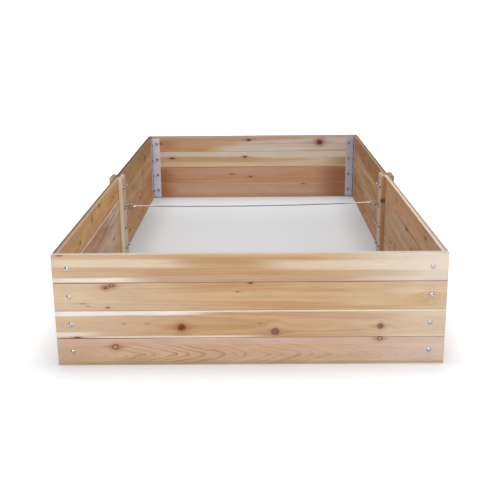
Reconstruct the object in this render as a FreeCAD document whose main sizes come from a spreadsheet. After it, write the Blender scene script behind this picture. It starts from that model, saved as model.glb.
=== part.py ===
import FreeCAD, Part
import math
import os

import Sketcher
from FreeCAD import Placement, Rotation, Vector

# Raised garden bed, bottomless, four courses of cedar boards high.
# X runs across the bed (left to right), Y along it (front to back), Z up.
# The origin is the centre of the footprint, on the ground. Millimetres.

doc = FreeCAD.newDocument("raised_garden_bed")

# ---------------------------------------------------------------- dimensions
sheet = doc.addObject("Spreadsheet::Sheet", "Dims")
DIMENSIONS = [
    ("bed_width", 1219.2, "outer width across the end boards"),
    ("bed_length", 2438.4, "outer length over the end boards"),
    ("board_height", 91.0, "height of one board"),
    ("board_thick", 19.0, "thickness of every board and batten"),
    ("board_gap", 0.6, "gap between two courses"),
    ("board_round", 2.0, "eased long edges"),
    ("end_chamfer", 0.6, "broken edge round a saw cut"),
    ("end_gap", 0.4, "side board to end board"),
    ("splice_gap", 0.8, "between the two half boards of a side"),
    ("hole_radius", 3.5, "clearance hole of a quarter inch bolt"),
    ("neck_recess", 6.7, "side of the square that the bolt neck bites"),
    ("neck_recess_deep", 4.1, "depth of that square"),
    ("bolt_inset", 28.5, "bolt axis from the inner corner"),
    ("splice_offset", 27.0, "splice bolt axis from the middle of the side"),
    ("batten_width", 90.0, "width of a splice batten"),
    ("batten_height", 370.0, "height of a splice batten"),
    ("outer_round", 4.0, "top of an outer batten, rounded over on both faces"),
    ("inner_round", 9.0, "top of an inner batten, nearly a half round"),
    ("batten_ease", 3.2, "eased edges of a batten's narrow sides"),
    ("bracket_leg", 45.0, "leg of the corner angle"),
    ("bracket_thick", 2.5, "plate of the corner angle"),
    ("bracket_long", 346.0, "length of the corner angle"),
    ("bracket_foot", 6.0, "corner angle above the ground"),
    ("bracket_bend", 4.0, "outer radius of the angle's heel"),
    ("head_radius", 7.6, "carriage bolt head"),
    ("head_rise", 3.4, "height of the domed head"),
    ("head_rim", 0.7, "straight rim under the dome"),
    ("neck_side", 6.35, "square neck"),
    ("neck_deep", 3.8, "length of the square neck"),
    ("shank_radius", 3.1, "quarter inch shank over the thread"),
    ("corner_bolt_long", 32.0, "corner bolt under the head"),
    ("splice_bolt_long", 70.0, "splice bolt under the head"),
    ("tip_chamfer", 0.9, "chamfered bolt tip"),
    ("washer_radius", 8.0, "flat washer outside"),
    ("washer_bore", 3.4, "flat washer hole"),
    ("washer_thick", 1.6, "flat washer"),
    ("nut_flats", 11.1, "hex nut across flats"),
    ("nut_thick", 5.6, "hex nut"),
    ("nut_bore", 3.2, "hex nut bore"),
    ("eye_ring", 9.0, "mean radius of the eye bolt ring"),
    ("eye_wire", 6.2, "bar of the eye bolt"),
    ("eye_reach", 27.0, "ring centre from the inner batten"),
    ("eye_long", 95.4, "ring centre to the end of the thread"),
    ("eye_rise", 2.3, "eye bolt above the middle of the third course"),
    ("eye_hole", 3.5, "hole for the eye bolt"),
    ("rod_wire", 5.0, "bar of the cross tie"),
    ("rod_loop", 9.0, "mean radius of the loops on the cross tie"),
    ("rod_sag", 8.0, "sag of the cross tie under its own weight"),
]
for row, (alias, value, note) in enumerate(DIMENSIONS, start=1):
    sheet.set("A%d" % row, alias)
    sheet.set("B%d" % row, str(value))
    sheet.setAlias("B%d" % row, alias)
    sheet.set("C%d" % row, note)
doc.recompute()


def dim(name):
    return float(getattr(sheet, name))


pitch = dim("board_height") + dim("board_gap")
half_w = dim("bed_width") / 2
half_l = dim("bed_length") / 2
side_half = half_l - dim("board_thick") - dim("end_gap") - dim("splice_gap") / 2

D = "Dims."
PITCH = "(Dims.board_height + Dims.board_gap)"
HALF_W = "Dims.bed_width / 2"
HALF_L = "Dims.bed_length / 2"
SIDE_LONG = "(Dims.bed_length / 2 - Dims.board_thick - Dims.end_gap - Dims.splice_gap / 2)"


def course_z(course):
    """Height of a board's middle, course 1 on the ground."""
    return "Dims.board_height / 2 + %d * %s" % (course - 1, PITCH)


# ------------------------------------------------------------ sketch helpers
def new_body(name):
    body = doc.addObject("PartDesign::Body", name)
    body.Label = name
    return body


def new_sketch(body, role, name, offset=None):
    sketch = body.newObject("Sketcher::SketchObject", name)
    plane = [f for f in body.Origin.OriginFeatures if f.Role == role][0]
    sketch.AttachmentSupport = [(plane, "")]
    sketch.MapMode = "FlatFace"
    if offset:
        sketch.setExpression("AttachmentOffset.Base.z", offset)
    return sketch


def drive(sketch, index, name, expression):
    sketch.renameConstraint(index, name)
    sketch.setExpression("Constraints." + name, expression)


def locate(sketch, geo, pos, tag, x, x_expr, y, y_expr):
    """Dimension a point from the sketch's origin; x or y of zero puts it on the axis."""
    for value, expression, kind, axis, word in (
        (x, x_expr, "DistanceX", -2, "x"),
        (y, y_expr, "DistanceY", -1, "y"),
    ):
        if abs(value) < 1e-9:
            sketch.addConstraint(Sketcher.Constraint("PointOnObject", geo, pos, axis))
            continue
        if value > 0:
            index = sketch.addConstraint(Sketcher.Constraint(kind, -1, 1, geo, pos, value))
        else:
            index = sketch.addConstraint(Sketcher.Constraint(kind, geo, pos, -1, 1, -value))
        drive(sketch, index, tag + "_" + word, expression)


def box_outline(sketch, tag, x, x_expr, y, y_expr, wide, wide_expr, high, high_expr):
    """A rectangle whose middle is at x, y."""
    corners = [
        Vector(x - wide / 2, y - high / 2, 0),
        Vector(x + wide / 2, y - high / 2, 0),
        Vector(x + wide / 2, y + high / 2, 0),
        Vector(x - wide / 2, y + high / 2, 0),
    ]
    first = sketch.GeometryCount
    for i in range(4):
        sketch.addGeometry(Part.LineSegment(corners[i], corners[(i + 1) % 4]), False)
    for i in range(4):
        sketch.addConstraint(
            Sketcher.Constraint("Coincident", first + i, 2, first + (i + 1) % 4, 1)
        )
    sketch.addConstraint(Sketcher.Constraint("Horizontal", first))
    sketch.addConstraint(Sketcher.Constraint("Vertical", first + 1))
    sketch.addConstraint(Sketcher.Constraint("Horizontal", first + 2))
    sketch.addConstraint(Sketcher.Constraint("Vertical", first + 3))
    index = sketch.addConstraint(
        Sketcher.Constraint("DistanceX", first, 1, first, 2, wide)
    )
    drive(sketch, index, tag + "_wide", wide_expr)
    index = sketch.addConstraint(
        Sketcher.Constraint("DistanceY", first + 1, 1, first + 1, 2, high)
    )
    drive(sketch, index, tag + "_high", high_expr)
    centre = sketch.addGeometry(Part.Point(Vector(x, y, 0)), True)
    sketch.addConstraint(
        Sketcher.Constraint("Symmetric", first, 1, first + 1, 2, centre, 1)
    )
    locate(sketch, centre, 1, tag, x, x_expr, y, y_expr)


def hole_outline(sketch, tag, x, x_expr, y, y_expr, radius_name):
    geo = sketch.addGeometry(
        Part.Circle(Vector(x, y, 0), Vector(0, 0, 1), dim(radius_name)), False
    )
    index = sketch.addConstraint(Sketcher.Constraint("Radius", geo, dim(radius_name)))
    drive(sketch, index, tag + "_r", D + radius_name)
    locate(sketch, geo, 3, tag, x, x_expr, y, y_expr)


def through(body, sketch, name):
    pocket = body.newObject("PartDesign::Pocket", name)
    pocket.Profile = sketch
    pocket.Type = "ThroughAll"
    pocket.SideType = "Symmetric"
    body.Tip = pocket
    return pocket


def sunk(body, sketch, name, depth):
    pocket = body.newObject("PartDesign::Pocket", name)
    pocket.Profile = sketch
    pocket.Type = "Length"
    pocket.setExpression("Length", depth)
    body.Tip = pocket
    return pocket


def edges_along(shape, axis, longer_than):
    names = []
    for i, edge in enumerate(shape.Edges, start=1):
        if edge.Curve.TypeId != "Part::GeomLine" or edge.Length < longer_than:
            continue
        direction = edge.tangentAt(edge.FirstParameter)
        if abs(abs(direction.dot(axis)) - 1) < 1e-6:
            names.append("Edge%d" % i)
    return names


def edges_at(shape, test):
    names = []
    for i, edge in enumerate(shape.Edges, start=1):
        if all(test(v.Point) for v in edge.Vertexes) and test(
            edge.valueAt((edge.FirstParameter + edge.LastParameter) / 2)
        ):
            names.append("Edge%d" % i)
    return names


# --------------------------------------------------------------------- boards
# A board lies along its own X, centred; its outer face looks along its own -Y.
CORNER_IN_END = "Dims.bed_width / 2 - Dims.board_thick - Dims.bolt_inset"
CORNER_IN_SIDE = SIDE_LONG + " / 2 + Dims.end_gap - Dims.bolt_inset"
SPLICE_IN_SIDE = SIDE_LONG + " / 2 + Dims.splice_gap / 2 - Dims.splice_offset"


def board(name, length_expr, length, bolts, necks, notch, turn, place):
    """bolts: plain holes, necks: holes with the square neck's recess, as (tag, x, expression).
    notch: the side (+1 or -1) whose end is notched by half of the eye bolt's hole."""
    body = new_body(name)
    profile = new_sketch(body, "YZ_Plane", name + "_section")
    box_outline(
        profile, "section", 0, "", 0, "",
        dim("board_thick"), D + "board_thick", dim("board_height"), D + "board_height",
    )
    pad = body.newObject("PartDesign::Pad", name + "_blank")
    pad.Profile = profile
    pad.SideType = "Symmetric"
    pad.setExpression("Length", length_expr)
    body.Tip = pad
    doc.recompute()
    eased = body.newObject("PartDesign::Fillet", name + "_eased")
    eased.Base = (pad, edges_along(pad.Shape, Vector(1, 0, 0), length * 0.9))
    eased.setExpression("Radius", D + "board_round")
    body.Tip = eased
    doc.recompute()
    cut = body.newObject("PartDesign::Chamfer", name + "_cut_ends")
    cut.Base = (
        eased,
        edges_at(eased.Shape, lambda p: abs(abs(p.x) - length / 2) < 1e-4),
    )
    cut.setExpression("Size", D + "end_chamfer")
    body.Tip = cut
    doc.recompute()
    solid = cut.Shape.Volume
    holes = new_sketch(body, "XZ_Plane", name + "_hole_lines")
    for tag, x, expression in bolts + necks:
        hole_outline(holes, tag, x, expression, 0, "", "hole_radius")
    drilled = through(body, holes, name + "_holes")
    doc.recompute()
    bored = drilled.Shape.Volume
    one = math.pi * dim("hole_radius") ** 2 * dim("board_thick")
    assert abs(solid - bored - len(bolts + necks) * one) < 1.0, name + " holes"
    if necks:
        squares = new_sketch(
            body, "XZ_Plane", name + "_neck_lines", "Dims.board_thick / 2"
        )
        for tag, x, expression in necks:
            box_outline(
                squares, tag, x, expression, 0, "",
                dim("neck_recess"), D + "neck_recess", dim("neck_recess"), D + "neck_recess",
            )
        recess = sunk(body, squares, name + "_neck_recess", D + "neck_recess_deep")
        doc.recompute()
        taken = bored - recess.Shape.Volume
        # The square reaches past the round hole in its four corners only.
        assert taken > 10 * len(necks), name + " neck recess"
        bored = recess.Shape.Volume
    if notch:
        ends = new_sketch(body, "XZ_Plane", name + "_eye_line")
        hole_outline(
            ends, "eye", notch * (length / 2 + dim("splice_gap") / 2),
            SIDE_LONG + " / 2 + Dims.splice_gap / 2", dim("eye_rise"), D + "eye_rise", "eye_hole",
        )
        through(body, ends, name + "_eye_notch")
        doc.recompute()
        assert bored - body.Shape.Volume > 200, name + " eye notch"
    x, y, x_expr, y_expr, z_expr = place
    body.Placement = Placement(Vector(x, y, 0), Rotation(Vector(0, 0, 1), turn))
    body.setExpression("Placement.Base.x", x_expr)
    body.setExpression("Placement.Base.y", y_expr)
    body.setExpression("Placement.Base.z", z_expr)
    return body


kept = []
corner_x = half_w - dim("board_thick") - dim("bolt_inset")
corner_side = side_half / 2 + dim("end_gap") - dim("bolt_inset")
splice_side = side_half / 2 + dim("splice_gap") / 2 - dim("splice_offset")

for course in (1, 2, 3, 4):
    z = course_z(course)
    for end, sign, turn in (("front", -1, 0), ("back", 1, 180)):
        y_expr = "%d * (%s - Dims.board_thick / 2)" % (sign, HALF_L)
        kept.append(
            board(
                "%s_board_%d" % (end, course), D + "bed_width", dim("bed_width"), [],
                [("left", -corner_x, CORNER_IN_END), ("right", corner_x, CORNER_IN_END)],
                0, turn,
                (0, sign * (half_l - dim("board_thick") / 2), "0", y_expr, z),
            )
        )
    for side, sign, turn in (("left", -1, -90), ("right", 1, 90)):
        x_expr = "%d * (%s - Dims.board_thick / 2)" % (sign, HALF_W)
        for part, way in (("front", -1), ("rear", 1)):
            # The board's own +X runs along the bed's -Y on the left and +Y on the right.
            to_middle = -way * sign
            y_expr = "%d * (%s / 2 + Dims.splice_gap / 2)" % (way, SIDE_LONG)
            kept.append(
                board(
                    "%s_%s_board_%d" % (side, part, course), SIDE_LONG, side_half,
                    [("splice", to_middle * splice_side, SPLICE_IN_SIDE)],
                    [("corner", -to_middle * corner_side, CORNER_IN_SIDE)],
                    to_middle if course == 3 else 0, turn,
                    (
                        sign * (half_w - dim("board_thick") / 2),
                        way * (side_half + dim("splice_gap")) / 2,
                        x_expr, y_expr, z,
                    ),
                )
            )


# --------------------------------------------------------- splice battens
# A batten stands on the ground astride the joint of the half boards, one outside and one inside.
def batten(name, outside, turn, x, x_expr):
    body = new_body(name)
    profile = new_sketch(body, "XY_Plane", name + "_section")
    box_outline(
        profile, "section", 0, "", 0, "",
        dim("batten_width"), D + "batten_width", dim("board_thick"), D + "board_thick",
    )
    pad = body.newObject("PartDesign::Pad", name + "_blank")
    pad.Profile = profile
    pad.setExpression("Length", D + "batten_height")
    body.Tip = pad
    doc.recompute()
    # The top is rounded over first; then the outline of both narrow sides is eased, except along the ground.
    top = body.newObject("PartDesign::Fillet", name + "_rounded_top")
    top.Base = (
        pad,
        edges_at(
            pad.Shape,
            lambda p: abs(p.z - dim("batten_height")) < 1e-4
            and abs(abs(p.y) - dim("board_thick") / 2) < 1e-4,
        ),
    )
    top.setExpression("Radius", D + ("outer_round" if outside else "inner_round"))
    body.Tip = top
    doc.recompute()
    on_the_ground = edges_at(top.Shape, lambda p: abs(p.z) < 1e-4)
    eased = body.newObject("PartDesign::Fillet", name + "_eased")
    eased.Base = (
        top,
        [
            edge
            for edge in edges_at(
                top.Shape, lambda p: abs(abs(p.x) - dim("batten_width") / 2) < 1e-4
            )
            if edge not in on_the_ground
        ],
    )
    eased.setExpression("Radius", D + "batten_ease")
    body.Tip = eased
    doc.recompute()
    solid = eased.Shape.Volume
    holes = new_sketch(body, "XZ_Plane", name + "_hole_lines")
    necks = new_sketch(body, "XZ_Plane", name + "_neck_lines", "Dims.board_thick / 2") if outside else None
    for course in (1, 2, 3, 4):
        z = dim("board_height") / 2 + (course - 1) * pitch
        for tag, side in (("front", -1), ("rear", 1)):
            hole_outline(
                holes, "%s_%d" % (tag, course), side * dim("splice_offset"), D + "splice_offset",
                z, course_z(course), "hole_radius",
            )
            if outside:
                box_outline(
                    necks, "%s_%d" % (tag, course), side * dim("splice_offset"), D + "splice_offset",
                    z, course_z(course), dim("neck_recess"), D + "neck_recess",
                    dim("neck_recess"), D + "neck_recess",
                )
    hole_outline(
        holes, "eye", 0, "", dim("board_height") / 2 + 2 * pitch + dim("eye_rise"),
        course_z(3) + " + Dims.eye_rise", "eye_hole",
    )
    drilled = through(body, holes, name + "_holes")
    doc.recompute()
    one = math.pi * dim("hole_radius") ** 2 * dim("board_thick")
    assert abs(solid - drilled.Shape.Volume - 9 * one) < 1.0, name + " holes"
    if outside:
        bored = drilled.Shape.Volume
        recess = sunk(body, necks, name + "_neck_recess", D + "neck_recess_deep")
        doc.recompute()
        assert bored - recess.Shape.Volume > 80, name + " neck recess"
    body.Placement = Placement(Vector(x, 0, 0), Rotation(Vector(0, 0, 1), turn))
    body.setExpression("Placement.Base.x", x_expr)
    return body


for side, sign, turn in (("left", -1, -90), ("right", 1, 90)):
    kept.append(
        batten(
            side + "_outer_batten", True, turn, sign * (half_w + dim("board_thick") / 2),
            "%d * (%s + Dims.board_thick / 2)" % (sign, HALF_W),
        )
    )
    kept.append(
        batten(
            side + "_inner_batten", False, turn, sign * (half_w - 1.5 * dim("board_thick")),
            "%d * (%s - 1.5 * Dims.board_thick)" % (sign, HALF_W),
        )
    )


# --------------------------------------------------------- corner angles
# Folded steel: the heel's outer corner is the body's own origin, the legs run along +X and +Y.
def corner_bracket(name, turn, sx, sy):
    body = new_body(name)
    leg, plate = dim("bracket_leg"), dim("bracket_thick")
    profile = new_sketch(body, "XY_Plane", name + "_section")
    points = [(0, 0), (leg, 0), (leg, plate), (plate, plate), (plate, leg), (0, leg)]
    for i in range(6):
        a, b = points[i], points[(i + 1) % 6]
        profile.addGeometry(Part.LineSegment(Vector(a[0], a[1], 0), Vector(b[0], b[1], 0)), False)
    for i in range(6):
        profile.addConstraint(Sketcher.Constraint("Coincident", i, 2, (i + 1) % 6, 1))
    for i in (0, 2, 4):
        profile.addConstraint(Sketcher.Constraint("Horizontal", i))
    for i in (1, 3, 5):
        profile.addConstraint(Sketcher.Constraint("Vertical", i))
    profile.addConstraint(Sketcher.Constraint("Coincident", 0, 1, -1, 1))
    for word, kind, geo, value, expression in (
        ("leg_x", "DistanceX", (0, 1, 0, 2), leg, D + "bracket_leg"),
        ("leg_y", "DistanceY", (5, 2, 5, 1), leg, D + "bracket_leg"),
        ("plate_x", "DistanceX", (4, 2, 4, 1), plate, D + "bracket_thick"),
        ("plate_y", "DistanceY", (1, 1, 1, 2), plate, D + "bracket_thick"),
    ):
        index = profile.addConstraint(Sketcher.Constraint(kind, *geo, value))
        drive(profile, index, word, expression)
    pad = body.newObject("PartDesign::Pad", name + "_angle")
    pad.Profile = profile
    pad.setExpression("Length", D + "bracket_long")
    body.Tip = pad
    doc.recompute()
    bend = body.newObject("PartDesign::Fillet", name + "_bend")
    bend.Base = (
        pad,
        edges_at(pad.Shape, lambda p: abs(p.x) < 1e-4 and abs(p.y) < 1e-4),
    )
    bend.setExpression("Radius", D + "bracket_bend")
    body.Tip = bend
    doc.recompute()
    inner = body.newObject("PartDesign::Fillet", name + "_inner_bend")
    inner.Base = (
        bend,
        edges_at(bend.Shape, lambda p: abs(p.x - plate) < 1e-4 and abs(p.y - plate) < 1e-4),
    )
    inner.setExpression("Radius", "Dims.bracket_bend - Dims.bracket_thick")
    body.Tip = inner
    doc.recompute()
    corners = body.newObject("PartDesign::Fillet", name + "_rounded_corners")
    corners.Base = (
        inner,
        edges_at(inner.Shape, lambda p: abs(p.x - leg) < 1e-4 and (abs(p.z) < 1e-4 or abs(p.z - dim("bracket_long")) < 1e-4))
        + edges_at(inner.Shape, lambda p: abs(p.y - leg) < 1e-4 and (abs(p.z) < 1e-4 or abs(p.z - dim("bracket_long")) < 1e-4)),
    )
    corners.Radius = 4.0
    body.Tip = corners
    doc.recompute()
    volume = body.Shape.Volume
    for role, word in (("XZ_Plane", "end"), ("YZ_Plane", "side")):
        lines = new_sketch(body, role, "%s_%s_lines" % (name, word))
        hole_outline(
            lines, word, dim("bolt_inset"), D + "bolt_inset",
            dim("board_height") / 2 - dim("bracket_foot"),
            "Dims.board_height / 2 - Dims.bracket_foot", "hole_radius",
        )
        pocket = through(body, lines, "%s_%s_hole" % (name, word))
        doc.recompute()
        rows = body.newObject("PartDesign::LinearPattern", "%s_%s_holes" % (name, word))
        rows.Originals = [pocket]
        rows.Direction = (lines, ["V_Axis"])
        rows.Occurrences = 4
        rows.setExpression("Length", "3 * " + PITCH)
        body.Tip = rows
        doc.recompute()
    one = math.pi * dim("hole_radius") ** 2 * plate
    assert abs(volume - body.Shape.Volume - 8 * one) < 1.0, name + " holes"
    x = sx * (half_w - dim("board_thick"))
    y = sy * (half_l - dim("board_thick"))
    body.Placement = Placement(Vector(x, y, dim("bracket_foot")), Rotation(Vector(0, 0, 1), turn))
    body.setExpression("Placement.Base.x", "%d * (%s - Dims.board_thick)" % (sx, HALF_W))
    body.setExpression("Placement.Base.y", "%d * (%s - Dims.board_thick)" % (sy, HALF_L))
    body.setExpression("Placement.Base.z", D + "bracket_foot")
    return body


CORNERS = (
    ("front_left", -1, -1, 0),
    ("front_right", 1, -1, 90),
    ("back_right", 1, 1, 180),
    ("back_left", -1, 1, 270),
)
for corner, sx, sy, turn in CORNERS:
    kept.append(corner_bracket(corner + "_corner_bracket", turn, sx, sy))


# ------------------------------------------------------------- fasteners
# The patterns below are drawn once, seat on their own XY plane and shank along +Z, then repeated.
def carriage_bolt(name, long_name):
    body = new_body(name)
    profile = new_sketch(body, "XZ_Plane", name + "_profile")
    r, rise, rim = dim("head_radius"), dim("head_rise"), dim("head_rim")
    shank, long, tip = dim("shank_radius"), dim(long_name), dim("tip_chamfer")
    above = (r * r / (rise - rim) - (rise + rim)) / 2
    dome = Part.ArcOfCircle(
        Part.Circle(Vector(0, above, 0), Vector(0, 0, 1), above + rise),
        -math.pi / 2, -math.atan2(above + rim, r),
    )
    outline = [
        Part.LineSegment(Vector(0, -rise, 0), Vector(0, long, 0)),
        Part.LineSegment(Vector(0, long, 0), Vector(shank - tip, long, 0)),
        Part.LineSegment(Vector(shank - tip, long, 0), Vector(shank, long - tip, 0)),
        Part.LineSegment(Vector(shank, long - tip, 0), Vector(shank, 0, 0)),
        Part.LineSegment(Vector(shank, 0, 0), Vector(r, 0, 0)),
        Part.LineSegment(Vector(r, 0, 0), Vector(r, -rim, 0)),
        dome,
    ]
    for geometry in outline:
        profile.addGeometry(geometry, False)
    for a, ap, b, bp in (
        (0, 2, 1, 1), (1, 2, 2, 1), (2, 2, 3, 1), (3, 2, 4, 1), (4, 2, 5, 1),
    ):
        profile.addConstraint(Sketcher.Constraint("Coincident", a, ap, b, bp))
    profile.addConstraint(Sketcher.Constraint("Coincident", 5, 2, 6, 2))
    profile.addConstraint(Sketcher.Constraint("Coincident", 6, 1, 0, 1))
    profile.addConstraint(Sketcher.Constraint("PointOnObject", 0, 1, -2))
    profile.addConstraint(Sketcher.Constraint("Vertical", 0))
    profile.addConstraint(Sketcher.Constraint("Horizontal", 1))
    profile.addConstraint(Sketcher.Constraint("Vertical", 3))
    profile.addConstraint(Sketcher.Constraint("Horizontal", 4))
    profile.addConstraint(Sketcher.Constraint("Vertical", 5))
    profile.addConstraint(Sketcher.Constraint("PointOnObject", 4, 1, -1))
    profile.addConstraint(Sketcher.Constraint("PointOnObject", 6, 3, -2))
    for word, kind, geo, value, expression in (
        ("dome_rise", "DistanceY", (0, 1, -1, 1), rise, D + "head_rise"),
        ("bolt_long", "DistanceY", (-1, 1, 0, 2), long, D + long_name),
        ("shank_r", "DistanceX", (-1, 1, 3, 1), shank, D + "shank_radius"),
        ("head_r", "DistanceX", (-1, 1, 4, 2), r, D + "head_radius"),
        ("rim", "DistanceY", (5, 2, 5, 1), rim, D + "head_rim"),
        ("tip_x", "DistanceX", (1, 2, 2, 2), tip, D + "tip_chamfer"),
        ("tip_y", "DistanceY", (2, 2, 2, 1), tip, D + "tip_chamfer"),
    ):
        index = profile.addConstraint(Sketcher.Constraint(kind, *geo, value))
        drive(profile, index, word, expression)
    turned = body.newObject("PartDesign::Revolution", name + "_turned")
    turned.Profile = profile
    turned.ReferenceAxis = (profile, ["V_Axis"])
    turned.Angle = 360.0
    body.Tip = turned
    doc.recompute()
    before = turned.Shape.Volume
    square = new_sketch(body, "XY_Plane", name + "_neck_line")
    box_outline(
        square, "neck", 0, "", 0, "", dim("neck_side"), D + "neck_side",
        dim("neck_side"), D + "neck_side",
    )
    neck = body.newObject("PartDesign::Pad", name + "_neck")
    neck.Profile = square
    neck.setExpression("Length", D + "neck_deep")
    body.Tip = neck
    doc.recompute()
    assert neck.Shape.Volume > before + 20, name + " neck"
    assert abs(neck.Shape.BoundBox.ZMin + rise) < 0.01, name + " head"
    return body


def flat_washer(name):
    disc = doc.addObject("Part::Cylinder", name + "_disc")
    disc.setExpression("Radius", D + "washer_radius")
    disc.setExpression("Height", D + "washer_thick")
    bore = doc.addObject("Part::Cylinder", name + "_bore")
    bore.setExpression("Radius", D + "washer_bore")
    bore.setExpression("Height", "Dims.washer_thick + 2")
    bore.Placement = Placement(Vector(0, 0, -1), Rotation())
    ring = doc.addObject("Part::Cut", name)
    ring.Base = disc
    ring.Tool = bore
    return ring


def hex_nut(name):
    prism = doc.addObject("Part::Prism", name + "_hexagon")
    prism.Polygon = 6
    prism.setExpression("Circumradius", "Dims.nut_flats / 2 / cos(30 deg)")
    prism.setExpression("Height", D + "nut_thick")
    # Two cones on one base round off the hexagon's corners above and below.
    lower = doc.addObject("Part::Cone", name + "_lower_cone")
    lower.setExpression("Radius1", "Dims.nut_flats / 2 * 1.02")
    lower.setExpression("Radius2", "Dims.nut_flats / 2 * 1.02 + Dims.nut_thick / 2 * 1.7")
    lower.setExpression("Height", "Dims.nut_thick / 2")
    upper = doc.addObject("Part::Cone", name + "_upper_cone")
    upper.setExpression("Radius1", "Dims.nut_flats / 2 * 1.02 + Dims.nut_thick / 2 * 1.7")
    upper.setExpression("Radius2", "Dims.nut_flats / 2 * 1.02")
    upper.setExpression("Height", "Dims.nut_thick / 2")
    upper.setExpression("Placement.Base.z", "Dims.nut_thick / 2")
    cones = doc.addObject("Part::Fuse", name + "_cones")
    cones.Base = lower
    cones.Tool = upper
    rounded = doc.addObject("Part::Common", name + "_rounded")
    rounded.Base = prism
    rounded.Tool = cones
    bore = doc.addObject("Part::Cylinder", name + "_bore")
    bore.setExpression("Radius", D + "nut_bore")
    bore.setExpression("Height", "Dims.nut_thick + 2")
    bore.Placement = Placement(Vector(0, 0, -1), Rotation())
    nut = doc.addObject("Part::Cut", name)
    nut.Base = rounded
    nut.Tool = bore
    return nut


corner_bolt = carriage_bolt("corner_bolt_pattern", "corner_bolt_long")
splice_bolt = carriage_bolt("splice_bolt_pattern", "splice_bolt_long")
washer_pattern = flat_washer("washer_pattern")
nut_pattern = hex_nut("nut_pattern")
doc.recompute()

INWARD = {
    "+X": Rotation(Vector(0, 1, 0), 90),
    "-X": Rotation(Vector(0, 1, 0), -90),
    "+Y": Rotation(Vector(1, 0, 0), -90),
    "-Y": Rotation(Vector(1, 0, 0), 90),
}
NUT_TURNS = (7, 41, 22, 55, 13, 34, 49, 28)


def repeat(pattern, name, way, spin, x_expr, y_expr, z_expr):
    copy = doc.addObject("App::Link", name)
    copy.LinkedObject = pattern
    copy.Placement = Placement(
        Vector(0, 0, 0), INWARD[way].multiply(Rotation(Vector(0, 0, 1), spin))
    )
    copy.setExpression("Placement.Base.x", x_expr)
    copy.setExpression("Placement.Base.y", y_expr)
    copy.setExpression("Placement.Base.z", z_expr)
    return copy


def group(name, members):
    compound = doc.addObject("Part::Compound", name)
    compound.Label = name
    compound.Links = members
    kept.append(compound)
    return compound


for corner, sx, sy, turn in CORNERS:
    bolts, washers, nuts = [], [], []
    for course in (1, 2, 3, 4):
        z = course_z(course)
        # Through the end board: across X at the inset, inwards along Y.
        way = "+Y" if sy < 0 else "-Y"
        x_expr = "%d * (%s)" % (sx, CORNER_IN_END)
        seats = (
            HALF_L,
            HALF_L + " - Dims.board_thick - Dims.bracket_thick",
            HALF_L + " - Dims.board_thick - Dims.bracket_thick - Dims.washer_thick",
        )
        for target, pattern, seat, spin in (
            (bolts, corner_bolt, seats[0], 0),
            (washers, washer_pattern, seats[1], 0),
            (nuts, nut_pattern, seats[2], NUT_TURNS[course - 1]),
        ):
            target.append(
                repeat(
                    pattern, "%s_end_%s_%d" % (corner, pattern.Name, course), way, spin,
                    x_expr, "%d * (%s)" % (sy, seat), z,
                )
            )
        # Through the side board: across Y at the inset, inwards along X.
        way = "+X" if sx < 0 else "-X"
        y_expr = "%d * (Dims.bed_length / 2 - Dims.board_thick - Dims.bolt_inset)" % sy
        seats = (
            HALF_W,
            HALF_W + " - Dims.board_thick - Dims.bracket_thick",
            HALF_W + " - Dims.board_thick - Dims.bracket_thick - Dims.washer_thick",
        )
        for target, pattern, seat, spin in (
            (bolts, corner_bolt, seats[0], 0),
            (washers, washer_pattern, seats[1], 0),
            (nuts, nut_pattern, seats[2], NUT_TURNS[course + 3]),
        ):
            target.append(
                repeat(
                    pattern, "%s_side_%s_%d" % (corner, pattern.Name, course), way, spin,
                    "%d * (%s)" % (sx, seat), y_expr, z,
                )
            )
    group(corner + "_corner_bolts", bolts)
    group(corner + "_corner_washers", washers)
    group(corner + "_corner_nuts", nuts)

for side, sx in (("left", -1), ("right", 1)):
    way = "+X" if sx < 0 else "-X"
    bolts, washers, nuts = [], [], []
    for course in (1, 2, 3, 4):
        for part, sy in (("front", -1), ("rear", 1)):
            for target, pattern, seat, spin in (
                (bolts, splice_bolt, HALF_W + " + Dims.board_thick", 0),
                (washers, washer_pattern, HALF_W + " - 2 * Dims.board_thick", 0),
                (
                    nuts, nut_pattern, HALF_W + " - 2 * Dims.board_thick - Dims.washer_thick",
                    NUT_TURNS[(2 * course + (sy > 0)) % 8],
                ),
            ):
                target.append(
                    repeat(
                        pattern, "%s_%s_%s_%d" % (side, part, pattern.Name, course), way, spin,
                        "%d * (%s)" % (sx, seat), "%d * Dims.splice_offset" % sy, course_z(course),
                    )
                )
    group(side + "_splice_bolts", bolts)
    group(side + "_splice_washers", washers)
    group(side + "_splice_nuts", nuts)


# ------------------------------------------------------------- cross tie
# An eye bolt stands in each side at mid length, in the third course. Its ring is upright on the
# left and lies flat on the right; each carries a loop of the tie, turned the other way.
eye_z = dim("board_height") / 2 + 2 * pitch + dim("eye_rise")
EYE_Z = course_z(3) + " + Dims.eye_rise"
inner_face = half_w - 2 * dim("board_thick")
INNER_FACE = HALF_W + " - 2 * Dims.board_thick"
OUTER_FACE = HALF_W + " + Dims.board_thick"
eye_x = inner_face - dim("eye_reach")


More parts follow.
